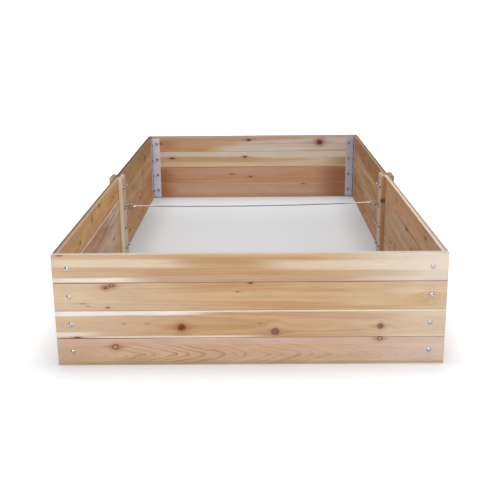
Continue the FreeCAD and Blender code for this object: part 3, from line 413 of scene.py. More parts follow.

# In the bands, the thin dark lines, under 2 mm half width, are painted shade in the seams between courses.
WOOD = {
    "front_board_4": dict(
        tone=lin(207, 168, 124), late=lin(184, 140, 96), light=lin(216, 184, 144),
        pith=(0.20, FRONT_D + 0.11, 0.004, -0.6), spacing=0.0058, contrast=0.5, figure=0.7,
        knots=[(-0.582, 0.3640, 0.0016, 5.0, "dark")],
        bands=[
            (-0.64, -0.20, 0.340, 0.334, 0.014, lin(246, 230, 204), 0.62),
            (-0.64, -0.34, 0.2845, 0.2835, 0.0072, lin(255, 240, 234), 0.92),
            (-0.60, -0.30, 0.314, 0.312, 0.008, lin(212, 170, 130), 0.45),
            (-0.22, 0.22, 0.345, 0.343, 0.012, lin(196, 148, 98), 0.60),
            (-0.35, 0.10, 0.306, 0.304, 0.010, lin(198, 152, 104), 0.55),
            (-0.35, 0.30, 0.288, 0.285, 0.008, lin(206, 170, 148), 0.55),
            (0.06, 0.64, 0.330, 0.322, 0.016, lin(244, 228, 206), 0.60),
            (0.15, 0.50, 0.300, 0.298, 0.010, lin(206, 178, 128), 0.50),
            (0.20, 0.64, 0.2762, 0.2762, 0.0010, lin(150, 112, 84), 0.55),
        ],
        bleach=[(-0.16, -0.56, lin(226, 204, 180), 0.36), (0.16, 0.56, lin(242, 230, 216), 0.80)],
        top=(FY + 0.019, FY, lin(250, 234, 220), lin(246, 228, 212), 0.28),
    ),
    "front_board_3": dict(
        tone=lin(208, 170, 126), late=lin(180, 134, 90), light=lin(218, 184, 142),
        pith=(0.232, FRONT_D + 0.055, 0.010, 0.35), spacing=0.0050, contrast=0.5, figure=1.2, wave=0.9,
        knots=[
            (-0.446, 0.2590, 0.0056, 1.7, "brown"),
            (-0.427, 0.2660, 0.0050, 1.6, "ring"),
            (-0.443, 0.194, 0.0024, 1.7, "brown"),
            (-0.520, 0.207, 0.0016, 3.6, "pale"),
            (-0.505, 0.199, 0.0014, 3.4, "pale"),
            (0.002, 0.2712, 0.0021, 2.6, "dark"),
            (-0.038, 0.244, 0.0030, 2.0, "pale"),
        ],
        bands=[
            (-0.64, 0.64, 0.236, 0.236, 0.007, lin(222, 190, 148), 0.45),
            (-0.64, -0.34, 0.2740, 0.2740, 0.0012, lin(112, 74, 54), 0.75),
            (-0.64, 0.64, 0.1836, 0.1836, 0.0010, lin(138, 98, 70), 0.45),
            (-0.64, -0.50, 0.262, 0.258, 0.010, lin(216, 190, 160), 0.6),
            (-0.20, 0.06, 0.262, 0.258, 0.009, lin(202, 150, 102), 0.5),
            (0.10, 0.64, 0.262, 0.264, 0.008, lin(214, 180, 136), 0.5),
            (0.42, 0.60, 0.216, 0.212, 0.022, lin(206, 160, 100), 0.45),
            (0.0, 0.50, 0.194, 0.192, 0.005, lin(200, 152, 110), 0.6),
            (-0.10, 0.30, 0.206, 0.204, 0.006, lin(196, 146, 98), 0.5),
        ],
        bleach=[(-0.08, -0.54, lin(232, 208, 184), 0.62), (0.20, 0.60, lin(240, 222, 198), 0.54)],
        curl=(0.553, 0.229, 0.060, 0.034, 0.42),
    ),
    "front_board_2": dict(
        tone=lin(203, 164, 120), late=lin(176, 132, 90), light=lin(210, 174, 132),
        pith=(0.137, FRONT_D + 0.075, -0.016, 0.25), spacing=0.0060, contrast=0.48, figure=1.0,
        knots=[
            (-0.215, 0.126, 0.0118, 1.10, "red"),
            (-0.322, 0.140, 0.0020, 1.8, "pale"),
            (-0.395, 0.140, 0.0018, 2.0, "pale"),
            (0.031, 0.138, 0.0040, 1.0, "pale"),
            (0.078, 0.111, 0.0112, 1.08, "grey"),
            (0.407, 0.127, 0.0086, 1.10, "grey"),
            (-0.545, 0.0945, 0.0022, 5.2, "red"),
        ],
        bands=[
            (-0.64, -0.16, 0.1758, 0.1798, 0.0108, lin(250, 238, 234), 0.94),
            (-0.24, 0.64, 0.1815, 0.1800, 0.0038, lin(252, 234, 206), 0.90),
            (-0.64, -0.50, 0.1060, 0.1060, 0.0080, lin(250, 236, 218), 0.80),
            (-0.48, 0.0, 0.0955, 0.0945, 0.0036, lin(252, 236, 220), 0.85),
            (0.44, 0.64, 0.0965, 0.0965, 0.0036, CREAM, 0.7),
            (0.48, 0.64, 0.168, 0.166, 0.012, lin(228, 208, 184), 0.6),
            (0.10, 0.45, 0.162, 0.160, 0.010, lin(204, 162, 138), 0.5),
            (-0.30, 0.02, 0.130, 0.128, 0.010, lin(196, 146, 92), 0.5),
        ],
        bleach=[(-0.10, -0.54, lin(226, 198, 172), 0.56), (0.12, 0.60, lin(234, 214, 192), 0.58)],
    ),
    "front_board_1": dict(
        tone=lin(206, 168, 134), late=lin(162, 112, 76), light=lin(212, 178, 148),
        pith=(0.034, FRONT_D - 0.011, 0.0, -0.60), spacing=0.0112, taper=0.22, sharp=0.50,
        contrast=0.78, figure=1.2, wave=0.6,
        knots=[
            (-0.426, 0.062, 0.0080, 1.25, "ring"),
            (0.406, 0.0850, 0.0066, 1.25, "ring"),
        ],
        bands=[
            (-0.64, 0.64, 0.081, 0.080, 0.013, lin(207, 170, 152), 0.82),
            (-0.64, -0.46, 0.040, 0.040, 0.040, lin(204, 164, 132), 0.75),
            (-0.64, 0.64, 0.006, 0.006, 0.006, lin(188, 140, 102), 0.5),
            (-0.42, -0.34, 0.070, 0.072, 0.007, lin(206, 146, 102), 0.55),
            (0.10, 0.60, 0.050, 0.046, 0.012, lin(210, 176, 160), 0.4),
            (-0.64, -0.30, 0.0908, 0.0908, 0.0012, lin(122, 80, 60), 0.70),
        ],
        bleach=[(-0.36, -0.62, lin(214, 186, 164), 0.30), (0.24, 0.60, lin(224, 204, 190), 0.50)],
    ),
    "back_board_4": dict(
        top=(BY - 0.019, BY, lin(176, 150, 128), lin(104, 90, 78), 0.10),
        tone=lin(206, 152, 104), late=lin(172, 116, 74), light=lin(212, 164, 120),
        pith=(0.36, BACK_D - 0.06, 0.010, 0.0), spacing=0.0060, contrast=0.5, figure=0.8,
        knots=[
            (-0.548, 0.322, 0.0075, 1.3, "dark"),
            (-0.023, 0.341, 0.0055, 2.0, "dark"),
            (0.391, 0.325, 0.0170, 1.15, "red"),
        ],
        bands=[
            (-0.22, 0.62, 0.276, 0.320, 0.030, lin(222, 196, 164), 0.85),
            (-0.08, 0.62, 0.300, 0.330, 0.035, lin(220, 194, 168), 0.85),
            (-0.02, 0.62, 0.318, 0.318, 0.005, lin(204, 152, 122), 0.6),
            (-0.62, 0.62, 0.362, 0.362, 0.008, lin(204, 178, 152), 0.7),
            (0.10, 0.62, 0.302, 0.306, 0.006, lin(212, 176, 130), 0.6),
            (-0.56, -0.44, 0.312, 0.312, 0.030, lin(184, 118, 68), 0.6),
            (0.44, 0.60, 0.300, 0.300, 0.024, lin(206, 178, 160), 0.6),
        ],
    ),
    "back_board_3": dict(
        tone=lin(206, 166, 118), late=lin(178, 132, 86), light=lin(216, 182, 138),
        pith=(0.30, BACK_D - 0.04, 0.004, 0.0), spacing=0.0062, contrast=0.45, figure=0.7,
        knots=[
            (-0.475, 0.236, 0.0046, 2.4, "dark"),
            (-0.047, 0.242, 0.0046, 2.2, "dark"),
        ],
        bands=[
            (-0.62, 0.62, 0.262, 0.256, 0.019, lin(224, 204, 178), 0.9),
            (-0.62, 0.05, 0.228, 0.226, 0.010, lin(200, 156, 102), 0.6),
            (0.05, 0.62, 0.238, 0.222, 0.022, lin(222, 200, 172), 0.8),
            (-0.20, 0.34, 0.229, 0.224, 0.008, lin(202, 158, 108), 0.7),
            (-0.62, 0.62, 0.196, 0.198, 0.013, lin(224, 192, 148), 0.85),
        ],
        shadows=[(0.47, 0.66, 0.214, 0.214, 0.026, lin(168, 128, 76), 0.70)],
    ),
    "back_board_2": dict(
        tone=lin(196, 150, 116), late=lin(164, 110, 80), light=lin(204, 162, 130),
        pith=(0.10, BACK_D - 0.09, 0.006, 0.1), spacing=0.0058, contrast=0.45, figure=0.8,
        knots=[(-0.013, 0.124, 0.0042, 1.9, "red"), (-0.125, 0.138, 0.0034, 3.2, "brown")],
        bands=[
            (-0.62, 0.62, 0.112, 0.104, 0.008, lin(196, 138, 102), 0.6),
            (-0.54, -0.44, 0.120, 0.110, 0.030, lin(188, 122, 66), 0.55),
        ],
        shadows=[
            (0.43, 0.66, 0.130, 0.130, 0.060, lin(140, 86, 48), 0.74),
            (-0.60, -0.50, 0.130, 0.130, 0.050, lin(166, 98, 48), 0.7),
        ],
    ),
    "back_board_1": dict(
        tone=lin(198, 152, 118), late=lin(168, 114, 82), light=lin(208, 166, 134),
        pith=(-0.02, BACK_D - 0.07, 0.006, 0.1), spacing=0.0058, contrast=0.45, figure=0.8,
        knots=[(0.30, 0.078, 0.0036, 2.2, "brown")],
        bands=[
            (-0.62, 0.62, 0.056, 0.050, 0.012, lin(204, 160, 134), 0.6),
            (-0.56, -0.46, 0.040, 0.036, 0.032, lin(194, 128, 72), 0.6),
            (-0.62, 0.62, 0.012, 0.012, 0.010, lin(196, 140, 108), 0.6),
        ],
        shadows=[
            (0.42, 0.66, 0.050, 0.046, 0.056, lin(140, 86, 48), 0.74),
            (-0.60, -0.50, 0.046, 0.046, 0.050, lin(170, 102, 52), 0.7),
        ],
    ),
    "left_front_board_4": dict(
        top=(-0.5906, -0.6096, lin(190, 156, 136), lin(92, 78, 68), -0.28),
        tone=lin(201, 156, 110), late=lin(162, 112, 70), light=lin(213, 176, 132),
        pith=(0.30, -0.66, 0.030, -0.5), spacing=0.0062, contrast=0.6, figure=1.6, wave=1.3,
        knots=[
            (-0.499, 0.352, 0.0070, 1.4, "brown"), (-0.650, 0.336, 0.0150, 0.62, "brown"),
            (-0.878, 0.308, 0.0070, 1.4, "brown"), (-0.20, 0.318, 0.0060, 1.6, "brown"),
        ],
        bands=[
            (-0.30, -0.02, 0.325, 0.320, 0.030, lin(190, 132, 78), 0.5),
            (-1.15, -0.80, 0.335, 0.330, 0.020, lin(196, 150, 92), 0.5),
            (-1.20, -0.03, 0.2768, 0.2768, 0.0016, lin(92, 58, 38), 0.80),
            (-1.18, -0.60, 0.358, 0.356, 0.010, lin(204, 146, 120), 0.45),
        ],
    ),
    "left_front_board_3": dict(
        tone=lin(202, 158, 124), late=lin(166, 114, 80), light=lin(216, 184, 158),
        pith=(0.22, -0.65, 0.040, -0.5), spacing=0.0066, contrast=0.6, figure=1.8, wave=1.5,
        knots=[(-0.52, 0.215, 0.0070, 1.6, "pale")],
        bands=[
            # Painted highlight: this pale stripe along the top of the course is its lit upper edge at the seam.
            (-1.20, -0.03, 0.2702, 0.2694, 0.0043, lin(246, 212, 182), 0.92),
            (-0.30, -0.05, 0.235, 0.225, 0.026, lin(222, 196, 176), 0.7),
            (-0.46, -0.14, 0.222, 0.240, 0.005, lin(150, 100, 72), 0.65),
            (-0.36, -0.06, 0.196, 0.214, 0.005, lin(156, 108, 78), 0.60),
            (-0.80, -0.30, 0.208, 0.216, 0.007, lin(196, 136, 112), 0.50),
            (-0.70, -0.45, 0.245, 0.250, 0.010, lin(186, 128, 100), 0.6),
        ],
    ),
    "left_front_board_2": dict(
        tone=lin(200, 156, 124), late=lin(164, 112, 80), light=lin(220, 190, 166),
        pith=(0.12, -0.66, 0.035, -0.4), spacing=0.0066, contrast=0.55, figure=1.8, wave=1.5,
        knots=[(-0.22, 0.140, 0.0060, 1.5, "brown")],
        bands=[(-0.40, -0.10, 0.150, 0.145, 0.030, lin(224, 200, 178), 0.7)],
    ),
    "left_front_board_1": dict(
        tone=TAN, late=TAN_LATE, light=TAN_LIGHT, pith=(0.05, -0.65, 0.03, -0.4), figure=1.4,
        knots=[(-0.40, 0.050, 0.0060, 1.4, "brown")],
    ),
    "left_rear_board_4": dict(
        top=(-0.5906, -0.6096, lin(150, 126, 108), lin(84, 72, 62), -0.25),
        tone=lin(202, 156, 108), late=lin(164, 114, 72), light=lin(210, 172, 126),
        pith=(0.32, -0.65, 0.030, 0.5), spacing=0.0064, contrast=0.6, figure=1.8, wave=1.4,
        knots=[
            (0.871, 0.297, 0.0100, 1.5, "dark"), (0.676, 0.321, 0.0075, 1.4, "red"),
            (0.304, 0.290, 0.0065, 1.6, "brown"),
        ],
        bands=[(0.40, 0.70, 0.310, 0.300, 0.020, lin(196, 160, 102), 0.5)],
    ),
    "left_rear_board_3": dict(
        tone=lin(200, 154, 110), late=lin(160, 110, 72), light=lin(212, 174, 132),
        pith=(0.25, -0.66, 0.035, 0.4), spacing=0.0066, contrast=0.6, figure=1.8, wave=1.5,
        knots=[(0.42, 0.230, 0.0070, 1.5, "brown"), (0.75, 0.238, 0.0080, 1.5, "red")],
        bands=[(0.20, 0.60, 0.240, 0.210, 0.016, lin(190, 142, 84), 0.5)],
    ),
    "left_rear_board_2": dict(
        tone=lin(198, 150, 112), late=lin(158, 106, 70), light=lin(210, 170, 132),
        pith=(0.14, -0.66, 0.040, 0.4), spacing=0.0066, contrast=0.6, figure=1.8, wave=1.5,
        knots=[(0.30, 0.150, 0.0060, 1.6, "brown"), (0.62, 0.130, 0.0065, 1.5, "dark")],
        bands=[(0.65, 1.18, 0.130, 0.120, 0.030, lin(192, 132, 76), 0.6)],
    ),
    "left_rear_board_1": dict(
        tone=lin(204, 160, 112), late=lin(166, 112, 68), light=lin(214, 176, 130),
        pith=(0.03, -0.65, 0.035, 0.4), spacing=0.0066, contrast=0.6, figure=1.8, wave=1.5,
        knots=[(0.22, 0.060, 0.0060, 1.6, "dark"), (0.55, 0.045, 0.0055, 1.5, "brown")],
        bands=[(0.70, 1.18, 0.060, 0.055, 0.034, lin(196, 134, 76), 0.65)],
    ),
    "right_front_board_4": dict(
        top=(0.5906, 0.6096, lin(232, 206, 186), lin(146, 130, 114), 0.12),
        tone=lin(202, 156, 112), late=lin(168, 118, 78), light=lin(210, 170, 130),
        pith=(0.30, 0.66, 0.030, -0.5), spacing=0.0062, contrast=0.55, figure=1.3, wave=1.2,
        knots=[(-0.945, 0.334, 0.0050, 1.3, "dark"), (-0.35, 0.330, 0.0055, 1.6, "brown")],
        bands=[
            (-1.19, -1.02, 0.330, 0.330, 0.040, lin(206, 172, 160), 0.55),
            (-1.20, -0.56, 0.2768, 0.2768, 0.0016, lin(92, 60, 42), 0.80),
            (-0.56, -0.03, 0.2766, 0.2766, 0.0012, lin(130, 94, 70), 0.55),
            (-0.80, -0.30, 0.300, 0.312, 0.014, lin(206, 150, 112), 0.45),
            (-0.50, -0.05, 0.330, 0.330, 0.026, lin(204, 150, 98), 0.45),
        ],
    ),
    "right_front_board_3": dict(
        tone=lin(202, 166, 132), late=lin(172, 126, 92), light=lin(216, 188, 160),
        pith=(0.22, 0.65, 0.040, -0.5), spacing=0.0066, contrast=0.5, figure=1.5, wave=1.3,
        knots=[(-0.595, 0.2715, 0.0040, 4.0, "dark"), (-0.70, 0.225, 0.0050, 1.6, "brown")],
        bands=[
            (-0.80, -0.30, 0.262, 0.262, 0.008, lin(220, 188, 158), 0.7),
            (-1.15, -0.70, 0.245, 0.240, 0.016, lin(196, 150, 108), 0.5),
        ],
    ),
    "right_front_board_2": dict(
        tone=lin(202, 160, 122), late=lin(168, 118, 84), light=lin(212, 178, 146),
        pith=(0.12, 0.66, 0.040, -0.4), spacing=0.0064, contrast=0.55, figure=1.6, wave=1.4,
        knots=[(-0.35, 0.140, 0.0050, 1.5, "brown")],
    ),
    "right_front_board_1": dict(
        tone=PINK, late=PINK_LATE, light=PINK_LIGHT, pith=(0.04, 0.66, 0.030, -0.4), figure=1.3,
        knots=[(-0.62, 0.048, 0.0060, 1.4, "red")],
    ),
    "right_rear_board_4": dict(
        top=(0.5906, 0.6096, lin(196, 166, 138), lin(112, 98, 84), -0.05),
        tone=lin(200, 150, 108), late=lin(160, 110, 74), light=lin(208, 168, 128),
        pith=(0.31, 0.65, 0.030, 0.5), spacing=0.0062, contrast=0.6, figure=1.6, wave=1.3,
        knots=[(0.70, 0.330, 0.0060, 1.5, "brown")],
        bands=[(0.55, 1.10, 0.262, 0.300, 0.006, lin(224, 196, 164), 0.7),
               (0.15, 0.50, 0.330, 0.320, 0.020, lin(186, 132, 92), 0.5)],
    ),
    "right_rear_board_3": dict(
        tone=lin(204, 160, 116), late=lin(168, 118, 78), light=lin(216, 182, 144),
        pith=(0.24, 0.66, 0.030, 0.5), spacing=0.0064, contrast=0.55, figure=1.6, wave=1.4,
        knots=[(0.52, 0.225, 0.0060, 1.6, "brown")],
        bands=[(0.25, 0.95, 0.262, 0.240, 0.008, lin(226, 196, 160), 0.7)],
    ),
    "right_rear_board_2": dict(
        tone=lin(202, 154, 112), late=lin(164, 112, 76), light=lin(214, 176, 138),
        pith=(0.14, 0.66, 0.035, 0.5), spacing=0.0064, contrast=0.6, figure=1.7, wave=1.4,
        knots=[(0.36, 0.150, 0.0060, 1.6, "brown")],
        bands=[(0.20, 0.80, 0.165, 0.150, 0.008, lin(218, 186, 152), 0.6),
               (0.75, 1.18, 0.120, 0.120, 0.030, lin(182, 122, 76), 0.5)],
    ),
    "right_rear_board_1": dict(
        tone=lin(200, 150, 110), late=lin(160, 106, 72), light=lin(210, 168, 130),
        pith=(0.03, 0.66, 0.035, 0.5), spacing=0.0064, contrast=0.6, figure=1.7, wave=1.4,
        knots=[(0.60, 0.050, 0.0060, 1.6, "red")],
        bands=[(0.60, 1.18, 0.050, 0.050, 0.034, lin(184, 122, 78), 0.6)],
    ),
    "left_inner_batten": dict(
        tone=lin(222, 198, 176), late=lin(192, 160, 136), light=lin(234, 216, 198),
        pith=(0.02, -0.62, 0.004, 0.0), spacing=0.0050, contrast=0.4, figure=0.8, wave=0.6,
        knots=[(0.150, 0.028, 0.0040, 1.6, "pale")],
        # Painted light: the face toward the front is lightened to stand in for the light it catches.
        faces=[("Y", -1, lin(255, 240, 214), 0.95)],
    ),
    "right_inner_batten": dict(
        tone=lin(218, 190, 166), late=lin(188, 150, 122), light=lin(230, 206, 186),
        pith=(-0.01, 0.62, 0.004, 0.0), spacing=0.0050, contrast=0.4, figure=0.8, wave=0.6,
        faces=[("Y", -1, lin(190, 142, 92), 0.90)],
        bands=[(0.248, 0.266, -0.045, -0.045, 0.006, lin(80, 42, 20), 0.90),
               (0.02, 0.20, -0.045, -0.045, 0.005, lin(170, 134, 104), 0.60)],
        edge_bands=True,
    ),
    "left_outer_batten": dict(
        tone=lin(206, 168, 128), late=lin(178, 134, 94), light=lin(218, 188, 152),
        pith=(0.012, -0.70, 0.030, 0.1), spacing=0.0054, contrast=0.5, figure=0.9, wave=0.7,
        knots=[(0.205, -0.020, 0.0060, 1.4, "red")],
        faces=[("Z", 1, lin(150, 138, 122), 0.75)],
    ),
    "right_outer_batten": dict(
        tone=lin(208, 168, 130), late=lin(180, 134, 96), light=lin(220, 188, 154),
        pith=(-0.010, 0.70, 0.035, 0.2), spacing=0.0054, contrast=0.5, figure=0.9, wave=0.7,
        knots=[(0.120, 0.024, 0.0060, 1.4, "brown")],
        faces=[("Z", 1, lin(150, 138, 124), 0.85), ("Y", -1, lin(146, 126, 108), 0.90)],
    ),
}

# What the light bounced round inside the box does to each wall's colour is evened out here.
GRADE = {
    "front_board_4": (0.80, 0.79, 0.78), "front_board_3": (0.83, 0.83, 0.83),
    "front_board_2": (0.88, 0.88, 0.88), "front_board_1": (1.02, 1.08, 1.12),
    "back_board_4": (1.08, 1.23, 1.48), "back_board_3": (1.06, 1.12, 1.31),
    "back_board_2": (1.04, 1.09, 1.16), "back_board_1": (1.01, 1.08, 1.15),
    "left_front_board_4": (1.36, 1.45, 1.33), "left_front_board_3": (1.08, 1.14, 1.20),
    "left_rear_board_4": (0.87, 0.87, 0.87), "left_rear_board_3": (1.00, 1.12, 1.27),
    "right_front_board_4": (1.14, 1.19, 1.22), "right_rear_board_4": (0.84, 0.84, 0.80),
    "right_rear_board_3": (0.92, 0.94, 0.94), "right_rear_board_2": (0.92, 0.94, 0.94),
}

OUTWARD = {"left": ("X", -1), "right": ("X", 1), "back": ("Y", 1)}

for i, (node, spec) in enumerate(sorted(WOOD.items())):
    spec = dict(spec)
    spec.setdefault("mottle", 0.9 if node.startswith(("left_", "right_")) and "batten" not in node else 0.3)
    material = cedar(
        "cedar_" + node, board_axes(node), 101 + i * 7, grade=GRADE.get(node, (1.0, 1.0, 1.0)),
        outward=OUTWARD.get(node.split("_")[0]), **spec
    )
    mesh = NODES[node].data
    mesh.materials.clear()
    mesh.materials.append(material)


# ------------------------------------------------------------------- metals
def galvanised(name, bright, leg_shade_strength):
    """Dip-galvanised sheet: pale spangle, a little white bloom, drawn scratches."""
    g = Graph(name)
    p = g.object_xyz()
    x, y, z = g.split(p)
    cell = g.split(g.voronoi(p, 160.0, output="Color"))[0]
    fine = g.noise(p, 900.0, 3.0, 0.6)
    bloom = g.noise(p, 38.0, 4.0, 0.6, 0.5)
    drawn = g.noise(g.xyz(x * 700.0, y * 700.0, z * 12.0), 1.0, 2.0, 0.6)
    colour = g.mix(cell * 0.7, lin(206, 205, 220), lin(224, 223, 234))
    colour = g.mix(g.step(bloom, 0.52, 0.75) * 0.4, colour, lin(236, 233, 238))
    colour = g.mix(g.step(drawn, 0.62, 0.80) * 0.3, colour, lin(168, 166, 180))
    colour = g.gain(colour, (0.90 + fine * 0.20) * bright)
    # The legs along the side walls are darkened by painted shade, most of all by the fold.
    n = g.split(g.normal_xyz())
    painted_leg_shade = g.step(n[0].abs(), 0.5, 0.9) * g.step(x.abs(), 0.583, 0.587)
    colour = g.gain(colour, 1.0 - painted_leg_shade * leg_shade_strength)
    rough = g.step(bloom, 0.3, 0.8, 0.42, 0.62) + (cell - 0.5) * 0.12
    normal = g.bump(drawn * 0.5 + fine * 0.3 + cell * 0.4, 0.25, 0.0003)
    return g.surface(colour, rough, normal, metallic=0.22, specular=0.5)


def zinc(name, tone, rough_low, rough_high, metallic=1.0, ends=None):
    """Bright zinc plate with handling marks. ends: (x where it starts to brighten, x where it is brightest, colour)."""
    g = Graph(name)
    p = g.object_xyz()
    x, y, z = g.split(p)
    cloud = g.noise(p, 220.0, 4.0, 0.55)
    grit = g.noise(p, 1900.0, 2.0, 0.5)
    scratch = g.noise(g.xyz(x * 2600.0, y * 180.0, z * 2600.0), 1.0, 1.0)
    if ends:
        tone = g.mix(g.step(x.abs(), ends[0], ends[1]), tone, ends[2])
        dark = g.gain(tone, 0.72)
    else:
        dark = tuple(c * 0.72 for c in tone[:3]) + (1.0,)
    colour = g.mix(g.step(cloud, 0.35, 0.72), tone, dark)
    colour = g.gain(colour, 0.94 + grit * 0.12)
    rough = g.step(cloud, 0.3, 0.75, rough_low, rough_high)
    normal = g.bump(grit * 0.4 + scratch * 0.5, 0.18, 0.00012)
    return g.surface(colour, rough, normal, metallic=metallic, specular=0.5)


# One galvanised sheet in two copies: the left corner angle is painted lighter and the right one darker, as the light
# falls on each.
GALV = galvanised("galvanised_sheet", 0.93, 0.80)
GALV_LIT = galvanised("galvanised_sheet_lit", 1.36, 0.70)
HEAD = zinc("bright_zinc", lin(232, 232, 234), 0.07, 0.18)
NUT = zinc("satin_zinc", lin(190, 186, 182), 0.24, 0.40)
CORNER = zinc("clear_zinc", lin(166, 168, 194), 0.34, 0.50, 0.60)
EYE = zinc("dull_zinc", lin(184, 172, 158), 0.30, 0.48)
ROD = zinc("rod_zinc", lin(150, 148, 150), 0.30, 0.46, 0.9, (0.40, 0.50, lin(236, 214, 204)))
for node, obj in NODES.items():
    if node in WOOD:
        continue
    if node.endswith("bracket"):
        material = GALV_LIT if "left" in node else GALV
    elif node.endswith("corner_bolts") or node.endswith("splice_bolts"):
        material = HEAD
    elif node == "tie_rod":
        material = ROD
    elif "eye_bolt" in node:
        material = EYE
    else:
        material = NUT
    obj.data.materials.clear()
    obj.data.materials.append(material)


# ------------------------------------------------- bolts, nuts and washers
ROUND, SQUARE, HEXAGON = range(3)
AROUND = 48
TURN = 1.27          # pitch of the thread, mm


def outline(kind, size, angle):
    """Radius at one angle. size is the radius of a circle, or half the width across flats."""
    if kind == SQUARE:
        return min(size / max(abs(math.cos(angle)), abs(math.sin(angle))), size * 1.33)
    if kind == HEXAGON:
        return size / math.cos((angle + math.pi / 6) % (math.pi / 3) - math.pi / 6)
    return size


def turned(rows, closed):
    """Vertices (radial x, radial y, along the axis) in mm and faces, from rows of (shape, size, height, chamfer).
    With a chamfer, the height falls by 0.6 of what the outline stands outside that radius."""
    verts, faces = [], []
    for kind, size, height, chamfer in rows:
        for i in range(AROUND):
            angle = 2 * math.pi * i / AROUND
            r = outline(kind, size(angle) if callable(size) else size, angle)
            z = height
            if chamfer:
                z -= math.copysign(max(0.0, r - chamfer) * 0.60, height)
            verts.append((r * math.cos(angle), r * math.sin(angle), z))
    count = len(rows)
    for j in range(count if closed else count - 1):
        k = (j + 1) % count
        for i in range(AROUND):
            n = (i + 1) % AROUND
            faces.append((j * AROUND + i, j * AROUND + n, k * AROUND + n, k * AROUND + i))
    if not closed:
        faces.append(tuple(range(AROUND - 1, -1, -1)))
        faces.append(tuple((count - 1) * AROUND + i for i in range(AROUND)))
    return verts, faces


def threaded(length, thread):
    """Rows of a cut thread that ends in a chamfered tip at -length."""
    rows = []
    steps = int(thread / TURN * 8)
    for i in range(steps + 1):
        s = i * (thread - 0.9) / steps

        def crest(angle, s=s):
            f = (s / TURN - angle / (2 * math.pi)) % 1.0
            deep = 0.62 * (1.0 - min(1.0, abs(2 * f - 1) * 1.18))
            lead = min(1.0, s / 1.0)
            return 3.08 - 0.30 * (1 - lead) - deep * lead

        rows.append((ROUND, crest, -(length - thread) - s, 0))
    return rows + [(ROUND, 2.35, -length + 0.05, 0), (ROUND, 2.1, -length, 0)]


def eye_bolt(upright):
    """Ring centre at 0, the tip at -95.4. The ring is bent from the shank's bar and closed by a weld."""
    rows = [(ROUND, 2.9, -8.2, 0), (ROUND, 4.3, -9.4, 0), (ROUND, 3.7, -11.6, 0), (ROUND, 3.15, -14.0, 0),
            (ROUND, 3.08, -16.0, 0), (ROUND, 3.08, -38.0, 0), (ROUND, 2.78, -38.6, 0), (ROUND, 2.78, -40.4, 0)]
    verts, faces = turned(rows + threaded(95.4, 55.0), False)
    start, turns, sides = len(verts), 72, 20
    for i in range(turns):
        t = 2 * math.pi * i / turns
        # The bar is a little flattened where it was bent, and swells at the weld.
        weld = math.exp(-((min(t, 2 * math.pi - t) - 0.0) / 0.16) ** 2)
        for j in range(sides):
            b = 2 * math.pi * j / sides
            reach = 9.0 + (2.98 + 0.10 * weld) * math.cos(b)
            side = (3.06 + 0.03 * weld) * math.sin(b)
            along, across = -reach * math.cos(t), reach * math.sin(t)
            verts.append((side, across, along) if upright else (across, side, along))
    for i in range(turns):
        k = (i + 1) % turns
        for j in range(sides):
            m = (j + 1) % sides
            faces.append(tuple(start + v for v in (i * sides + j, k * sides + j, k * sides + m, i * sides + m)))
    return verts, faces


def carriage_bolt(length, thread):
    """Apex of the head at +3.4, the face it bears on at 0, the tip at -length."""
    radius = (7.6 ** 2 + 2.7 ** 2) / (2 * 2.7)
    rows = []
    for i in range(1, 13):
        r = 7.6 * i / 12
        rows.append((ROUND, r, 3.4 - radius + math.sqrt(radius ** 2 - r * r), 0))
    rows += [(ROUND, 7.6, 0.25, 0), (ROUND, 7.42, 0.02, 0), (SQUARE, 3.175, 0.02, 0), (SQUARE, 3.175, -3.2, 0),
             (ROUND, 2.78, -3.8, 0), (ROUND, 2.78, -(length - thread), 0)]
    rows += threaded(length, thread)
    return turned(rows, False)


def hex_nut():
    return turned(
        [(ROUND, 3.15, 2.3, 0), (ROUND, 3.75, 2.8, 0), (ROUND, 5.25, 2.8, 0), (HEXAGON, 5.55, 2.8, 5.30),
         (HEXAGON, 5.55, -2.8, 5.30), (ROUND, 5.25, -2.8, 0), (ROUND, 3.75, -2.8, 0), (ROUND, 3.15, -2.3, 0)],
        True,
    )


def flat_washer():
    return turned(
        [(ROUND, 3.4, 0.62, 0), (ROUND, 3.62, 0.8, 0), (ROUND, 7.55, 0.8, 0), (ROUND, 7.86, 0.68, 0), (ROUND, 8.0, 0.35, 0),
         (ROUND, 8.0, -0.62, 0), (ROUND, 7.9, -0.8, 0), (ROUND, 3.6, -0.8, 0), (ROUND, 3.4, -0.62, 0)],
        True,
    )


def separate_parts(obj):
    """The point sets (mm) of the loose parts of a CAD node."""
    mesh = obj.data
    keys, parent = {}, []

    def find(i):
        while parent[i] != i:
            parent[i] = parent[parent[i]]
            i = parent[i]
        return i

    index = []
    points = []
    for v in mesh.vertices:
        p = obj.matrix_world @ v.co
        key = (round(p.x, 5), round(p.y, 5), round(p.z, 5))
        if key not in keys:
            keys[key] = len(parent)
            parent.append(len(parent))
            points.append(p * 1000.0)
        index.append(keys[key])
    for poly in mesh.polygons:
        first = find(index[poly.vertices[0]])
        for v in poly.vertices[1:]:
            other = find(index[v])
            if other != first:
                parent[other] = first
    groups = {}
    for i, p in enumerate(points):
        groups.setdefault(find(i), []).append(p)
    return [groups[k] for k in sorted(groups, key=lambda k: tuple(round(c, 1) for c in groups[k][0]))]


def extent(points):
    low = Vector([min(p[i] for p in points) for i in range(3)])
    high = Vector([max(p[i] for p in points) for i in range(3)])
    return low, high


